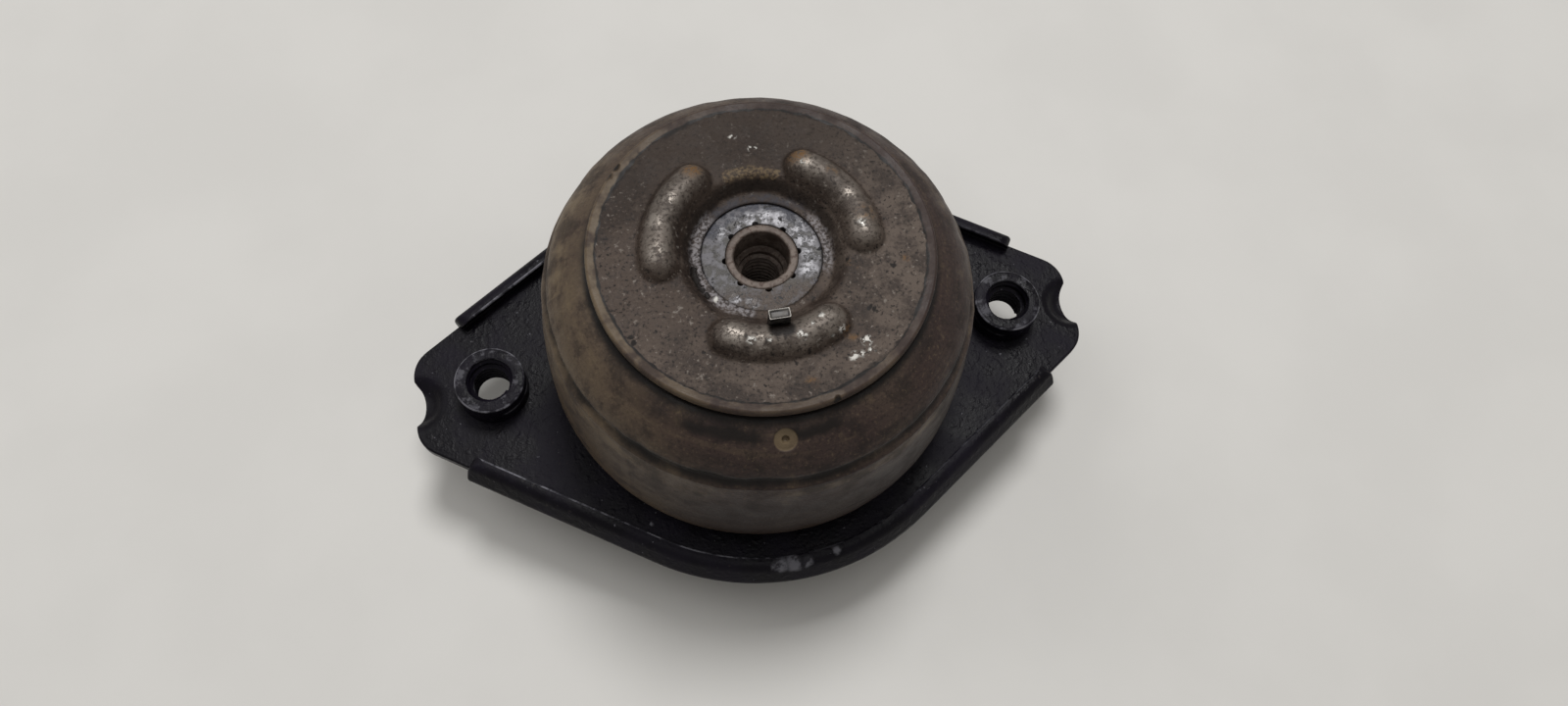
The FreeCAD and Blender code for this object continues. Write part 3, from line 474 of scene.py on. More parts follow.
def makeCap(look):
    # pressed mild steel, phosphated long ago: dull brown-grey, freckled with rust pits, rubbed bright on the humps,
    # with painted highlights and painted shade
    material, tree, shader, place = startMaterial("pressedSteel")
    x, y, z = axesOf(tree, place)
    angle = polar(tree, place)[1]
    torn = tornPlace(tree, place, 1.4, 0.8)
    tornRadius = polar(tree, torn)[0]
    clouds = addNode(tree, "TexNoise", {"Vector": place, "Scale": detail(20), "Detail": 5.0})
    patches = addNode(tree, "TexNoise", {"Vector": place, "Scale": detail(5), "Detail": 8.0, "Roughness": 0.7})
    # rust pits and flecks of scale, drawn about twice as coarse as they are
    freckle = addNode(tree, "TexNoise", {"Vector": place, "Scale": detail(0.75), "Detail": 2.0, "Roughness": 0.7})
    specks = addNode(tree, "TexNoise", {"Vector": place, "Scale": detail(1.5), "Detail": 3.0, "Roughness": 0.7})
    patterns = {"clouds": clouds, "patches": patches, "freckle": freckle, "specks": specks}
    colour = layColours(tree, look["brown"], patterns, look["ground"], look)
    # paler towards the right and the front: pale patches, and painted light
    share = addNode(tree, "MapRange", {0: x, 1: 4 * mm, 2: 26 * mm}, **smooth)
    fade = addNode(tree, "MapRange", {0: y, 1: -8 * mm, 2: -30 * mm, 3: 0.0, 4: 0.7}, **smooth)
    wiped = addNode(tree, "Math", {0: share, 1: fade}, operation="MAXIMUM")
    share = addNode(tree, "MapRange", {0: patches, 1: 0.4, 2: 0.58, 3: 0.05, 4: 0.8}, **smooth)
    share = addNode(tree, "Math", {0: wiped, 1: share}, operation="MULTIPLY")
    colour = addNode(tree, "Mix", {0: share, 6: colour, 7: look["pale"]}, 2, data_type="RGBA")
    colour = layColours(tree, colour, patterns, look["freckles"], look)
    # painted shade: browner at the back
    share = addNode(tree, "MapRange", {0: y, 1: 2 * mm, 2: 26 * mm}, **smooth)
    fade = addNode(tree, "MapRange", {0: clouds, 1: 0.3, 2: 0.6, 3: 0.35, 4: 0.7}, **smooth)
    back = addNode(tree, "Math", {0: share, 1: fade}, operation="MULTIPLY")
    colour = addNode(tree, "Mix", {0: back, 6: colour, 7: look["back"]}, 2, data_type="RGBA")
    # dirt with painted shade down the wall of the dish, heaviest at the back, a grey crust on its floor
    wall = between(tree, z, look["wall"])
    share = addNode(tree, "MapRange", {0: y, 1: -6 * mm, 2: 6 * mm, 3: 0.15, 4: 0.6}, **smooth)
    share = addNode(tree, "Math", {0: wall, 1: share}, operation="MULTIPLY")
    colour = addNode(tree, "Mix", {0: share, 6: colour, 7: look["pit"]}, 2, data_type="RGBA")
    share = addNode(tree, "MapRange", {0: z, 1: 77.0 * mm, 2: 76.2 * mm}, **smooth)
    crust = addNode(tree, "Math", {0: arcs(tree, angle, tornRadius, look["crust"]), 1: share}, operation="MULTIPLY")
    share = addNode(tree, "MapRange", {0: freckle, 1: 0.58, 2: 0.42, 3: 0.1, 4: 0.85}, **smooth)
    share = addNode(tree, "Math", {0: crust, 1: share}, operation="MULTIPLY")
    colour = addNode(tree, "Mix", {0: share, 6: colour, 7: look["crustColour"]}, 2, data_type="RGBA")
    share = addNode(tree, "MapRange", {0: patches, 1: 0.6, 2: 0.4, 3: 0.1, 4: 0.7}, **smooth)
    film = addNode(tree, "Math", {0: arcs(tree, angle, tornRadius, look["film"]), 1: share}, operation="MULTIPLY")
    colour = addNode(tree, "Mix", {0: film, 6: colour, 7: look["filmColour"]}, 2, data_type="RGBA")
    share = addNode(tree, "MapRange", {0: freckle, 1: 0.6, 2: 0.4, 3: 0.1, 4: 0.8}, **smooth)
    bar = addNode(tree, "Math", {0: spots(tree, torn, look["bar"], 0.6), 1: share}, operation="MULTIPLY")
    colour = addNode(tree, "Mix", {0: bar, 6: colour, 7: look["tan"]}, 2, data_type="RGBA")
    crack = spots(tree, torn, look["crack"], 0.5)
    colour = addNode(tree, "Mix", {0: crack, 6: colour, 7: look["pit"]}, 2, data_type="RGBA")
    # painted shade in the seam against the rubber
    share = addNode(tree, "MapRange", {0: tornRadius, 1: 34.0 * mm, 2: 34.5 * mm}, **smooth)
    seam = addNode(tree, "Math", {0: share, 1: arcs(tree, angle, tornRadius, look["tears"])}, operation="MAXIMUM")
    share = addNode(tree, "MapRange", {0: patches, 1: 0.62, 2: 0.46, 3: 0.45, 4: 1.0}, **smooth)
    seam = addNode(tree, "Math", {0: seam, 1: share}, operation="MULTIPLY")
    colour = addNode(tree, "Mix", {0: seam, 6: colour, 7: look["pit"]}, 2, data_type="RGBA")
    # painted shade in the corner round each hump's foot, and a painted shadow of the key in front of it
    foot = between(tree, z, look["foot"])
    share = addNode(tree, "MapRange", {0: patches, 1: 0.4, 2: 0.6, 3: 0.0, 4: 0.4}, **smooth)
    share = addNode(tree, "Math", {0: foot, 1: share}, operation="MULTIPLY")
    colour = addNode(tree, "Mix", {0: share, 6: colour, 7: look["pit"]}, 2, data_type="RGBA")
    grime = spots(tree, place, look["grime"], 0.55)
    # worn crests with painted highlights on them, brightest at the listed rubbed spots
    share = addNode(tree, "MapRange", {0: z, 1: 79.8 * mm, 2: 82.3 * mm}, **smooth)
    fade = addNode(tree, "MapRange", {0: patches, 1: 0.4, 2: 0.6, 3: 0.3, 4: 0.9}, **smooth)
    crest = addNode(tree, "Math", {0: share, 1: fade}, operation="MULTIPLY")
    share = addNode(tree, "MapRange", {0: z, 1: 80.8 * mm, 2: 82.3 * mm}, **smooth)
    rub = addNode(tree, "Math", {0: spots(tree, torn, look["rubs"], 0.2), 1: share}, operation="MULTIPLY")
    share = addNode(tree, "MapRange", {0: patches, 1: 0.36, 2: 0.52}, **smooth)
    rub = addNode(tree, "Math", {0: rub, 1: share}, operation="MULTIPLY")
    share = addNode(tree, "Math", {0: crest, 1: 0.6}, operation="MULTIPLY")
    share = addNode(tree, "Math", {0: share, 1: rub}, operation="MAXIMUM")
    fade = addNode(tree, "MapRange", {0: freckle, 1: 0.62, 2: 0.5, 3: 0.4, 4: 1.0}, **smooth)
    bright = addNode(tree, "Math", {0: share, 1: fade}, operation="MULTIPLY")
    colour = addNode(tree, "Mix", {0: bright, 6: colour, 7: look["bright"]}, 2, data_type="RGBA")
    share = addNode(tree, "MapRange", {0: patches, 1: 0.42, 2: 0.54}, **smooth)
    rust = addNode(tree, "Math", {0: spots(tree, torn, look["rustSpots"], 0.25), 1: share}, operation="MULTIPLY")
    share = addNode(tree, "MapRange", {0: freckle, 1: 0.58, 2: 0.46, 3: 0.25, 4: 0.95}, **smooth)
    rust = addNode(tree, "Math", {0: rust, 1: share}, operation="MULTIPLY")
    colour = addNode(tree, "Mix", {0: rust, 6: colour, 7: look["rust"]}, 2, data_type="RGBA")
    # dark dots, and the painted shadow of the key
    dots = spots(tree, torn, look["dots"], 0.5)
    share = addNode(tree, "Math", {0: dots, 1: grime}, operation="MAXIMUM")
    colour = addNode(tree, "Mix", {0: share, 6: colour, 7: look["pit"]}, 2, data_type="RGBA")
    share = addNode(tree, "TexNoise", {"Vector": place, "Scale": detail(0.9), "Detail": 2.0})
    share = addNode(tree, "MapRange", {0: share, 1: 0.43, 2: 0.52}, **smooth)
    white = addNode(tree, "Math", {0: spots(tree, torn, look["flecks"], 0.3), 1: share}, operation="MULTIPLY")
    colour = addNode(tree, "Mix", {0: white, 6: colour, 7: look["white"]}, 2, data_type="RGBA")
    clean = addNode(tree, "Math", {0: bright, 1: rust}, operation="SUBTRACT", use_clamp=True)
    share = addNode(tree, "MapRange", {0: clean, 1: 0.0, 2: 1.0, 3: 0.15, 4: 0.6}, **smooth)
    tree.links.new(share, shader.inputs["Metallic"])
    share = addNode(tree, "MapRange", {0: clean, 1: 0.0, 2: 1.0, 3: 0.52, 4: 0.3}, **smooth)
    fade = addNode(tree, "MapRange", {0: patches, 1: 0.35, 2: 0.65, 3: 0.0, 4: 0.12}, **smooth)
    roughness = addNode(tree, "Math", {0: share, 1: fade}, operation="ADD")
    share = addNode(tree, "Math", {0: patches, 1: 0.3}, operation="MULTIPLY")
    fade = addNode(tree, "Math", {0: freckle, 1: 0.12}, operation="MULTIPLY")
    height = addNode(tree, "Math", {0: share, 1: fade}, operation="SUBTRACT")
    share = addNode(tree, "MapRange", {0: bright, 1: 0.1, 2: 0.7, 3: 1.0, 4: 0.35}, **smooth)
    height = addNode(tree, "Math", {0: height, 1: share}, operation="MULTIPLY")
    share = addNode(tree, "Math", {0: crack, 1: 0.4}, operation="MULTIPLY")
    height = addNode(tree, "Math", {0: height, 1: share}, operation="SUBTRACT")
    share = addNode(tree, "Math", {0: white, 1: 0.15}, operation="MULTIPLY")
    height = addNode(tree, "Math", {0: height, 1: share}, operation="ADD")
    finishSurface(tree, shader, colour, roughness, height, look["cornerSoftness"])
    shader.inputs["Specular IOR Level"].default_value = look["specular"]
    return material


coatLook = {
    "coat": "#09070d",
    "worn": "#131019",
    "steel": "#78777e",
    "dust": "#34302f",
    "specular": 0.09,
    "gloss": {"blackDipCoat": 0.34, "blackDipCoatTurned": 0.3},
    "glossSpread": 0.16,
    "bossRim": ((31.9, 32.15), (32.49, 32.35)),
    "layers": [
        ("clouds", 0.4, 0.65, 1.0, "worn"), ("pits", 0.64, 0.74, 0.6, "dust"),
        ("glints", 0.72, 0.76, 0.45, "steel"),
    ],
    # places rubbed through, the front lip's with a painted highlight: x, y, z and reach in millimetres
    "rubs": [(-4.2, -55.5, 28.8, 2.4), (-1.0, -55.8, 28.8, 2.6), (2.0, -55.7, 28.8, 2.0), (9.4, -54.5, 28.8, 1.3),
             (-31.9, -39.7, 25, 0.6)],
}


def makeCoat(look, name):
    # black dip coat on steel: thin, slightly glossy, finely pitted by salt, thinner along the pressed edges
    material, tree, shader, place = startMaterial(name)
    x, y, z = axesOf(tree, place)
    clouds = addNode(tree, "TexNoise", {"Vector": place, "Scale": detail(12), "Detail": 5.0})
    streaks = addNode(tree, "TexNoise", {"Vector": place, "Scale": detail(4), "Detail": 6.0, "Roughness": 0.65})
    glints = addNode(tree, "TexNoise", {"Vector": place, "Scale": detail(1.3), "Detail": 2.0, "Roughness": 0.6})
    # salt pits, drawn about twice as coarse as they are
    pits = addNode(tree, "TexNoise", {"Vector": place, "Scale": detail(1.0), "Detail": 3.0, "Roughness": 0.6})
    blisters = addNode(tree, "TexNoise", {"Vector": place, "Scale": detail(1.7), "Detail": 2.0})
    gloss = look["gloss"][name]
    patterns = {"clouds": clouds, "pits": pits, "glints": glints}
    colour = layColours(tree, look["coat"], patterns, look["layers"], look)
    # thin line worn along the inner top edge of the lips
    normal = addNode(tree, "NewGeometry", {}, "Normal")
    outward = addNode(tree, "CombineXYZ", {"X": x, "Y": y})
    outward = addNode(tree, "VectorMath", {0: outward}, operation="NORMALIZE")
    facing = addNode(tree, "VectorMath", {0: outward, 1: normal}, "Value", operation="DOT_PRODUCT")
    share = addNode(tree, "MapRange", {0: facing, 1: -0.05, 2: -0.25}, **smooth)
    fade = addNode(tree, "MapRange", {0: z, 1: 28.35 * mm, 2: 28.6 * mm}, **smooth)
    line = addNode(tree, "Math", {0: share, 1: fade}, operation="MULTIPLY")
    share = addNode(tree, "MapRange", {0: z, 1: 29.4 * mm, 2: 29.2 * mm}, **smooth)
    line = addNode(tree, "Math", {0: line, 1: share}, operation="MULTIPLY")
    share = addNode(tree, "MapRange", {0: streaks, 1: 0.42, 2: 0.56, 3: 0.15, 4: 0.9}, **smooth)
    line = addNode(tree, "Math", {0: line, 1: share}, operation="MULTIPLY")
    share = addNode(tree, "MapRange", {0: x, 1: 5 * mm, 2: -25 * mm, 3: 0.25, 4: 1.0}, **smooth)
    line = addNode(tree, "Math", {0: line, 1: share}, operation="MULTIPLY")
    colour = addNode(tree, "Mix", {0: line, 6: colour, 7: look["steel"]}, 2, data_type="RGBA")
    # rubbed through at the front, with a painted highlight there, and round the mouth and rim of each boss
    share = addNode(tree, "MapRange", {0: streaks, 1: 0.4, 2: 0.54, 3: 0.1, 4: 0.75}, **smooth)
    rub = addNode(tree, "Math", {0: spots(tree, tornPlace(tree, place, 2, 0.8), look["rubs"], 0.4), 1: share},
                  operation="MULTIPLY")
    ring = between(tree, z, look["bossRim"])
    share = addNode(tree, "MapRange", {0: streaks, 1: 0.42, 2: 0.56, 3: 0.1, 4: 0.8}, **smooth)
    ring = addNode(tree, "Math", {0: ring, 1: share}, operation="MULTIPLY")
    share = addNode(tree, "Math", {0: rub, 1: ring}, operation="MAXIMUM")
    colour = addNode(tree, "Mix", {0: share, 6: colour, 7: look["steel"]}, 2, data_type="RGBA")
    share = addNode(tree, "MapRange", {0: z, 1: 32.4 * mm, 2: 32.5 * mm}, **smooth)
    fade = addNode(tree, "MapRange", {0: streaks, 1: 0.53, 2: 0.62, 3: 0.0, 4: 0.35}, **smooth)
    tops = addNode(tree, "Math", {0: share, 1: fade}, operation="MULTIPLY")
    colour = addNode(tree, "Mix", {0: tops, 6: colour, 7: look["steel"]}, 2, data_type="RGBA")
    roughness = addNode(tree, "MapRange", {0: clouds, 1: 0.35, 2: 0.65, 3: gloss, 4: gloss + look["glossSpread"]},
                        **smooth)
    share = addNode(tree, "MapRange", {0: blisters, 1: 0.5, 2: 0.7}, **smooth)
    share = addNode(tree, "Math", {0: share, 1: 0.06}, operation="MULTIPLY")
    fade = addNode(tree, "Math", {0: pits, 1: 0.1}, operation="MULTIPLY")
    height = addNode(tree, "Math", {0: share, 1: fade}, operation="SUBTRACT")
    finishSurface(tree, shader, colour, roughness, height)
    shader.inputs["Specular IOR Level"].default_value = look["specular"]
    return material


aluminiumLook = {
    "cast": "#3b3835",
    "oxide": "#6b696d",
    "white": "#d2d1d6",
    "film": "#2e2f39",
    "spot": "#171517",
    "brown": "#3d322a",
    "metallic": 0.25,
    "ground": [("patches", 0.42, 0.6, 1.0, "oxide")],
    "spots": [("freckle", 0.56, 0.68, 0.75, "spot"), ("pinholes", 0.64, 0.7, 1.0, "spot")],
    # chalky bloom: x, y, z and reach in millimetres
    "bloom": [(-0.7, 9.2, 75.2, 2.6), (2.5, 9.3, 75.2, 2.4), (5.4, 8.2, 75.2, 2.6), (8.2, 5.6, 75.2, 3.0),
              (10.0, 2.4, 75.2, 3.0), (10.4, -1.2, 75.2, 2.8), (9.3, -4.4, 75.2, 2.6), (-4.2, 8.6, 75.2, 1.8),
              (-7.4, 6.8, 75.2, 2.0), (-3.8, -10.6, 75.2, 1.8), (-7.2, -8.9, 75.2, 1.8)],
}


def makeAluminium(look):
    # cast aluminium gone chalky: white oxide bloom with dark pinholes, stained brown by rust towards the front
    material, tree, shader, place = startMaterial("castAluminium")
    y = axesOf(tree, place)[1]
    radius = polar(tree, place)[0]
    torn = tornPlace(tree, place, 2.0, 1.0)
    patches = addNode(tree, "TexNoise", {"Vector": place, "Scale": detail(3.0), "Detail": 8.0, "Roughness": 0.7})
    freckle = addNode(tree, "TexNoise", {"Vector": place, "Scale": detail(0.7), "Detail": 3.0, "Roughness": 0.65})
    pinholes = addNode(tree, "TexNoise", {"Vector": place, "Scale": detail(1.2), "Detail": 2.0})
    patterns = {"patches": patches, "freckle": freckle, "pinholes": pinholes}
    colour = layColours(tree, look["cast"], patterns, look["ground"], look)
    # blue-black film towards the back of the face
    share = addNode(tree, "MapRange", {0: radius, 1: 9.6 * mm, 2: 11.0 * mm}, **smooth)
    fade = addNode(tree, "MapRange", {0: y, 1: 3.0 * mm, 2: 7.0 * mm}, **smooth)
    film = addNode(tree, "Math", {0: share, 1: fade}, operation="MULTIPLY")
    share = addNode(tree, "MapRange", {0: patches, 1: 0.6, 2: 0.45, 3: 0.2, 4: 0.9}, **smooth)
    share = addNode(tree, "Math", {0: film, 1: share}, operation="MULTIPLY")
    colour = addNode(tree, "Mix", {0: share, 6: colour, 7: look["film"]}, 2, data_type="RGBA")
    # rust wash at the front
    share = addNode(tree, "MapRange", {0: y, 1: -5.0 * mm, 2: -9.5 * mm}, **smooth)
    fade = addNode(tree, "MapRange", {0: patches, 1: 0.62, 2: 0.46, 3: 0.45, 4: 1.0}, **smooth)
    wash = addNode(tree, "Math", {0: share, 1: fade}, operation="MULTIPLY")
    colour = addNode(tree, "Mix", {0: wash, 6: colour, 7: look["brown"]}, 2, data_type="RGBA")
    share = addNode(tree, "MapRange", {0: patches, 1: 0.42, 2: 0.54, 3: 0.1, 4: 1.0}, **smooth)
    bloom = addNode(tree, "Math", {0: spots(tree, torn, look["bloom"], 0.3), 1: share}, operation="MULTIPLY")
    share = addNode(tree, "Math", {0: bloom, 1: 0.72}, operation="MULTIPLY")
    colour = addNode(tree, "Mix", {0: share, 6: colour, 7: look["white"]}, 2, data_type="RGBA")
    colour = layColours(tree, colour, patterns, look["spots"], look)
    roughness = addNode(tree, "MapRange", {0: patches, 1: 0.3, 2: 0.7, 3: 0.4, 4: 0.65}, **smooth)
    share = addNode(tree, "Math", {0: patches, 1: 0.3}, operation="MULTIPLY")
    fade = addNode(tree, "Math", {0: bloom, 1: 0.15}, operation="MULTIPLY")
    height = addNode(tree, "Math", {0: share, 1: fade}, operation="ADD")
    share = addNode(tree, "Math", {0: freckle, 1: 0.12}, operation="MULTIPLY")
    height = addNode(tree, "Math", {0: height, 1: share}, operation="SUBTRACT")
    finishSurface(tree, shader, colour, roughness, height)
    shader.inputs["Metallic"].default_value = look["metallic"]
    return material


steelLayers = [("patches", 0.42, 0.58, 1.0, "light"), ("freckle", 0.5, 0.66, 0.8, "rust")]
bushLook = {
    "dark": "#493f39", "light": "#665b54", "rust": "#38261d", "layers": steelLayers,
    "smooth": 0.47, "rough": 0.65, "metallic": 0.35,
}
ringLook = {
    "dark": "#3a3836", "light": "#5a5651", "rust": "#4a3426", "layers": steelLayers,
    "smooth": 0.42, "rough": 0.6, "metallic": 0.5,
}
castLook = {
    "dark": "#7c7b7d", "light": "#99989a", "rust": "#5d5c5e", "layers": steelLayers,
    "smooth": 0.42, "rough": 0.6, "metallic": 0.6,
}


def makeSteel(look, name):
    # bare turned or pressed steel with brown rust bloom
    material, tree, shader, place = startMaterial(name)
    patches = addNode(tree, "TexNoise", {"Vector": place, "Scale": detail(4), "Detail": 6.0, "Roughness": 0.6})
    freckle = addNode(tree, "TexNoise", {"Vector": place, "Scale": detail(0.7), "Detail": 3.0, "Roughness": 0.6})
    patterns = {"patches": patches, "freckle": freckle}
    colour = layColours(tree, look["dark"], patterns, look["layers"], look)
    shine = addNode(tree, "MapRange", {0: patches, 1: 0.3, 2: 0.7, 3: look["smooth"], 4: look["rough"]}, **smooth)
    share = addNode(tree, "Math", {0: freckle, 1: 0.1}, operation="MULTIPLY")
    finishSurface(tree, shader, colour, shine, share)
    shader.inputs["Metallic"].default_value = look["metallic"]
    return material


keyLook = {
    "dark": "#1f1d1c", "light": "#3b3835", "edge": "#8d8984", "metallic": 0.5,
    "layers": [("patches", 0.4, 0.6, 1.0, "light")],
}


def makeKeySteel(look, name):
    # steel key, black in its hollow and bright round its top edge: rubbed steel and painted light on the top
    material, tree, shader, place = startMaterial(name)
    z = axesOf(tree, place)[2]
    patches = addNode(tree, "TexNoise", {"Vector": place, "Scale": detail(1.5), "Detail": 5.0})
    colour = layColours(tree, look["dark"], {"patches": patches}, look["layers"], look)
    # painted light and wear: the top edge bright
    share = addNode(tree, "MapRange", {0: z, 1: 84.15 * mm, 2: 84.4 * mm}, **smooth)
    fade = addNode(tree, "MapRange", {0: patches, 1: 0.35, 2: 0.55, 3: 0.6, 4: 1.0}, **smooth)
    top = addNode(tree, "Math", {0: share, 1: fade}, operation="MULTIPLY")
    colour = addNode(tree, "Mix", {0: top, 6: colour, 7: look["edge"]}, 2, data_type="RGBA")
    share = addNode(tree, "MapRange", {0: patches, 1: 0.3, 2: 0.7, 3: 0.32, 4: 0.48}, **smooth)
    fade = addNode(tree, "Math", {0: patches, 1: 0.05}, operation="MULTIPLY")
    finishSurface(tree, shader, colour, share, fade)
    shader.inputs["Metallic"].default_value = look["metallic"]
    return material


softLook = {"base": "#1b1a1a", "bloom": "#2f2d2c", "layers": [("patches", 0.4, 0.7, 1.0, "bloom")]}


def makeSoftRubber(look, name):
    # nitrile rubber, smooth from the mould with a faint grey bloom
    material, tree, shader, place = startMaterial(name)
    patches = addNode(tree, "TexNoise", {"Vector": place, "Scale": detail(8), "Detail": 4.0})
    grain = addNode(tree, "TexNoise", {"Vector": place, "Scale": detail(0.8), "Detail": 2.0})
    colour = layColours(tree, look["base"], {"patches": patches}, look["layers"], look)
    share = addNode(tree, "MapRange", {0: patches, 1: 0.3, 2: 0.7, 3: 0.55, 4: 0.68}, **smooth)
    fade = addNode(tree, "Math", {0: grain, 1: 0.05}, operation="MULTIPLY")
    finishSurface(tree, shader, colour, share, fade)
    return material


rubber = makeRubber(rubberLook)
capSteel = makeCap(capLook)
dipCoat = makeCoat(coatLook, "blackDipCoat")
turnedCoat = makeCoat(coatLook, "blackDipCoatTurned")
castAluminium = makeAluminium(aluminiumLook)
bushSteel = makeSteel(bushLook, "rustedBushSteel")
keySteel = makeKeySteel(keyLook, "keySteel")
ringSteel = makeSteel(ringLook, "platedSteel")
dieCast = makeSteel(castLook, "dieCastAluminium")
softRubber = makeSoftRubber(softLook, "nitrileRubber")
print("materials made")

for name, material in {
    "flange_plate": dipCoat, "top_cap": capSteel, "core": castAluminium, "outer_ring": ringSteel,
    "ring_weld": ringSteel, "base_can": ringSteel, "rolling_diaphragm": softRubber, "diaphragm_insert": ringSteel,
    "lower_track_plate": dieCast, "upper_track_plate": dieCast, "decoupler_membrane": softRubber,
}.items():
    wear(nodes[name], material)
print("frame nodes finished")


# rubber spring
springShape = {
    # radius and height in millimetres, with how far each corner's rounding reaches
    "outside": [
        (46.5, 25.0), (49.6, 31.4, 7.0), (49.6, 51.3, 12.0), (47.7, 63.4, 0.8), (45.9, 65.2, 0.7),
        (46.3, 66.8, 0.5), (43.3, 72.7, 6.0), (36.8, 75.3, 0.4), (34.9, 75.3, 0.5), (36.6, 76.9, 0.5),
        (36.6, 79.3, 0.8), (34.3, 78.9),
    ],
    "inside": [
        (34.95, 78.9), (34.95, 76.4), (22.0, 73.0), (22.0, 69.5), (12.0, 45.0), (10.0, 43.5, 3.0),
        (38.3, 29.0, 3.0), (38.3, 26.0), (41.5, 26.0), (41.5, 52.0), (43.5, 62.0), (46.0, 62.0), (44.0, 52.0),
        (44.0, 27.2), (46.2, 25.0),
    ],
    "steps": 480,
    "waviness": 0.3,    # how far the skin wanders in and out
    "wrinkle": 0.5,     # depth of the folds over the crease
    "ragged": 0.45,     # tearing of the lip that overlaps the cap
    "wanderSizes": (16, 6),
    "skin": (32, 75),           # lowest and highest place where the skin wanders
    "skinFade": (6, 2),         # height over which that grows from either end
    "skinRadii": (38.0, 46.2),  # the skin is outside the first, and below the crease outside the second
    "skinStep": 62.5,           # height of the change between them
    "foldSizes": (7, 9),        # degrees round and millimetres up
    "foldHeight": 67,
    "foldReach": 5,
    "lip": (34.0, 35.2),        # radii of the lip's free edge
    "lipHeight": 78.5,
    "tearSizes": (1.7, 5),
    # gate mark: a shallow round hollow with a pit in its middle, the edges are the widths of their walls
    "gateRadius": 2.4,
    "gateDepth": 0.35,
    "gateEdge": 0.4,
    "pitRadius": 0.7,
    "pitDepth": 0.9,
    "pitEdge": 0.3,
    "gateMargin": 1.2,
}


def sinkGate(bm, shape):
    # presses the gate mark into the skin, square to the skin, with finer faces there
    centre = Vector(gatePlace) * mm
    reach = (shape["gateRadius"] + shape["gateMargin"]) * mm
    near = [e for e in bm.edges if all((v.co - centre).length < reach for v in e.verts)]
    bmesh.ops.subdivide_edges(bm, edges=near, cuts=4, use_grid_fill=True)
    bm.normal_update()
    nearest = min(bm.verts, key=lambda v: (v.co - centre).length)
    normal = nearest.normal.copy()
    if normal.dot(Vector((centre.x, centre.y, 0))) < 0:
        normal.negate()
    centre += normal * (nearest.co - centre).dot(normal)
    for point in bm.verts:
        away = (point.co - centre).length / mm
        hollow = (shape["gateRadius"] + shape["gateEdge"] / 2 - away) / shape["gateEdge"]
        pit = (shape["pitRadius"] + shape["pitEdge"] / 2 - away) / shape["pitEdge"]
        if hollow > 0:
            sink = shape["gateDepth"] * min(hollow, 1.0) + shape["pitDepth"] * min(max(pit, 0.0), 1.0)
            point.co -= normal * sink * mm


def buildSpring(shape):
    bm = bmesh.new()
    coarse, fine = shape["wanderSizes"]
    low, high = shape["skin"]
    lowFade, highFade = shape["skinFade"]
    upperRadius, lowerRadius = shape["skinRadii"]
    foldTurn, foldRise = shape["foldSizes"]
    lipInner, lipOuter = shape["lip"]
    tearFine, tearCoarse = shape["tearSizes"]
    spinProfile(bm, shape["outside"] + shape["inside"], shape["steps"], segments=10)
    bmesh.ops.remove_doubles(bm, verts=bm.verts, dist=mergeGap)
    for point in bm.verts:
        radius = math.hypot(point.co.x, point.co.y) / mm
        height = point.co.z / mm
        away = Vector((point.co.x, point.co.y, 0)).normalized()
        isSkin = height > shape["skinStep"] or radius > lowerRadius
        if radius > upperRadius and low < height < high and isSkin:
            wander = noise.noise(point.co / (coarse * mm)) + 0.5 * noise.noise(point.co / (fine * mm))
            fade = min((height - low) / lowFade, 1.0) * min((high - height) / highFade, 1.0)
            move = -abs(wander) * shape["waviness"]
            # short folds cross the crease where the shoulder leans on it
            turn = math.degrees(math.atan2(point.co.y, point.co.x))
            fold = noise.noise(Vector((turn / foldTurn, height / foldRise, 3.0)))
            near = max(1 - abs(height - shape["foldHeight"]) / shape["foldReach"], 0.0)
            move -= max(fold, 0.0) * near * shape["wrinkle"]
            point.co += away * move * fade * mm
        elif lipInner < radius < lipOuter and height > shape["lipHeight"]:
            tear = noise.noise(point.co / (tearFine * mm)) + noise.noise(point.co / (tearCoarse * mm))
            point.co += away * max(min(tear, 0.6), -1.0) * shape["ragged"] * mm
    sinkGate(bm, shape)
    return finishMesh("rubberSpring", bm, 50)


spring = buildSpring(springShape)
wear(spring, rubber)
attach(spring, "root")
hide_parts("main_spring")
print("rubber spring built")


# threaded bosses
bossShape = {
    "section": [
        (5.0, 22.7), (5.7, 22.0), (6.25, 22.0), (6.25, 25.0), (8.4, 25.0), (8.4, 32.5, 0.7), (5.55, 32.5, 0.15),
        (5.55, 31.7, 0.1), (5.0, 31.15),
    ],
    "ridge": [(5.05, 22.4), (4.25, 22.95), (4.25, 23.15), (5.05, 23.7)],
    "pitch": 1.5,
    "turns": 4.9,
}


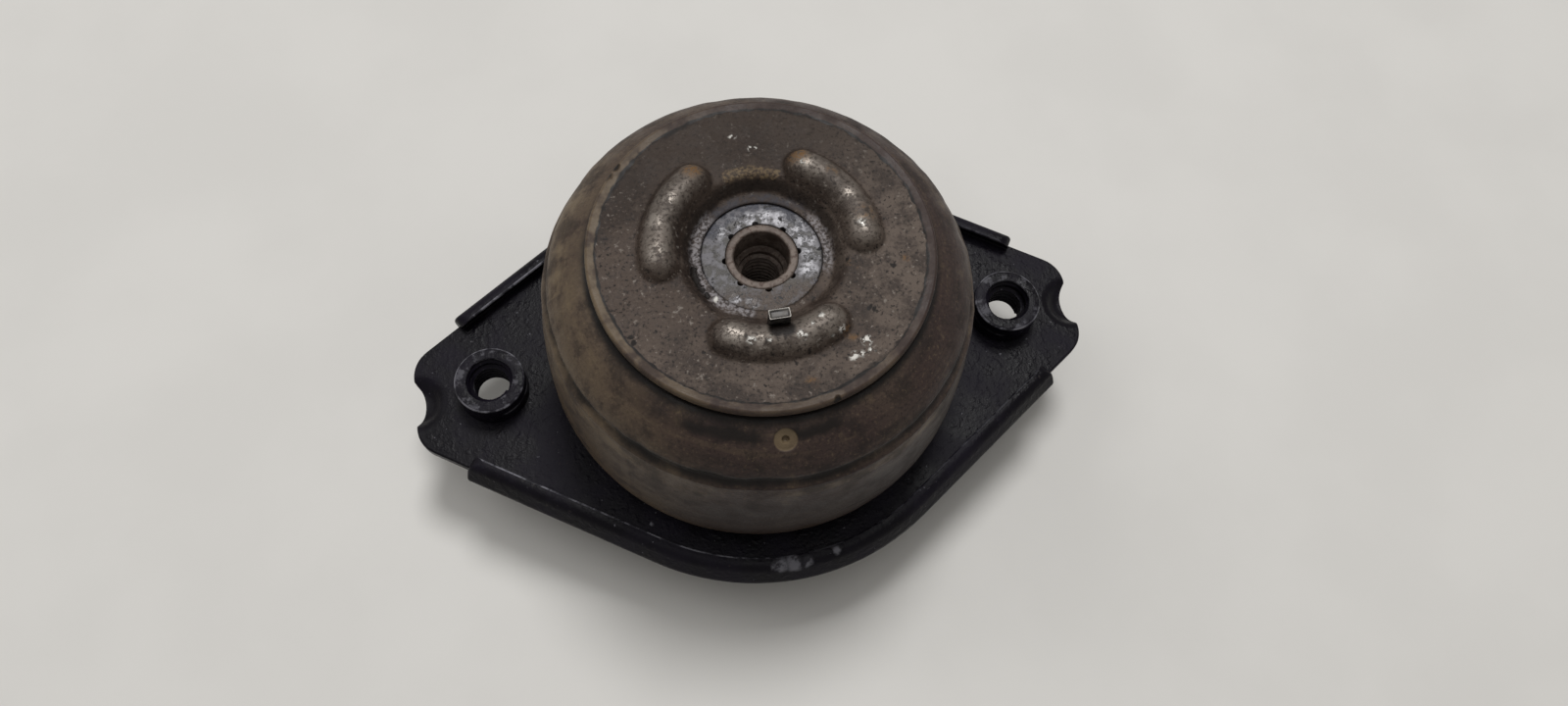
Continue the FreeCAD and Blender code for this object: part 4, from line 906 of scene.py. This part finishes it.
def buildBoss(name, nodeName, shape):
    low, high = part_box(nodeName)
    middle = ((low[0] + high[0]) / 2, 0, 0)
    bm = bmesh.new()
    spinProfile(bm, shape["section"], 96, middle, segments=4)
    spinCoil(bm, shape["ridge"], shape["pitch"], shape["turns"], middle)
    return finishMesh(name, bm, 30)


for side in ("left", "right"):
    boss = buildBoss("threadedBoss." + side, "boss_" + side, bossShape)
    wear(boss, turnedCoat)
    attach(boss, "root")
    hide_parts("boss_" + side)
print("bosses built")


# threaded bush
bushShape = {
    "section": [
        (5.0, 53.2), (7.75, 53.2, 0.4), (7.75, 75.2, 0.5), (5.9, 75.2, 0.5), (5.9, 69.0), (5.0, 68.1),
    ],
    "ridge": [(5.05, 53.4), (4.25, 53.95), (4.25, 54.15), (5.05, 54.7)],
    "pitch": 1.5,
    "turns": 8.8,
}


def buildBush(shape):
    bm = bmesh.new()
    spinProfile(bm, shape["section"], 96, segments=4)
    spinCoil(bm, shape["ridge"], shape["pitch"], shape["turns"])
    return finishMesh("threadedBush", bm, 30)


bush = buildBush(bushShape)
wear(bush, bushSteel)
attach(bush, "root")
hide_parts("core_bush")
print("bush built")


# locating key
keyShape = {"edge": 0.2, "hollow": 0.55, "depth": 0.4}


def buildKey(shape):
    low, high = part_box("locating_key")
    bm = bmesh.new()
    bmesh.ops.create_cube(bm, size=1.0)
    bmesh.ops.scale(bm, vec=high - low, verts=bm.verts)
    bmesh.ops.translate(bm, vec=(low + high) / 2, verts=bm.verts)
    top = [f for f in bm.faces if f.normal.z > 0.9]
    bmesh.ops.inset_region(bm, faces=top, thickness=shape["hollow"] * mm)
    bmesh.ops.translate(bm, vec=(0, 0, -shape["depth"] * mm), verts=top[0].verts)
    sharp = [e for e in bm.edges if e.calc_face_angle(0) > 0.5]
    bmesh.ops.bevel(bm, geom=sharp, offset=shape["edge"] * mm, segments=3, profile=0.5, affect="EDGES", material=-1)
    return finishMesh("locatingKey", bm, 40)


key = buildKey(keyShape)
wear(key, keySteel)
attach(key, "root")
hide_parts("locating_key")
print("key built")
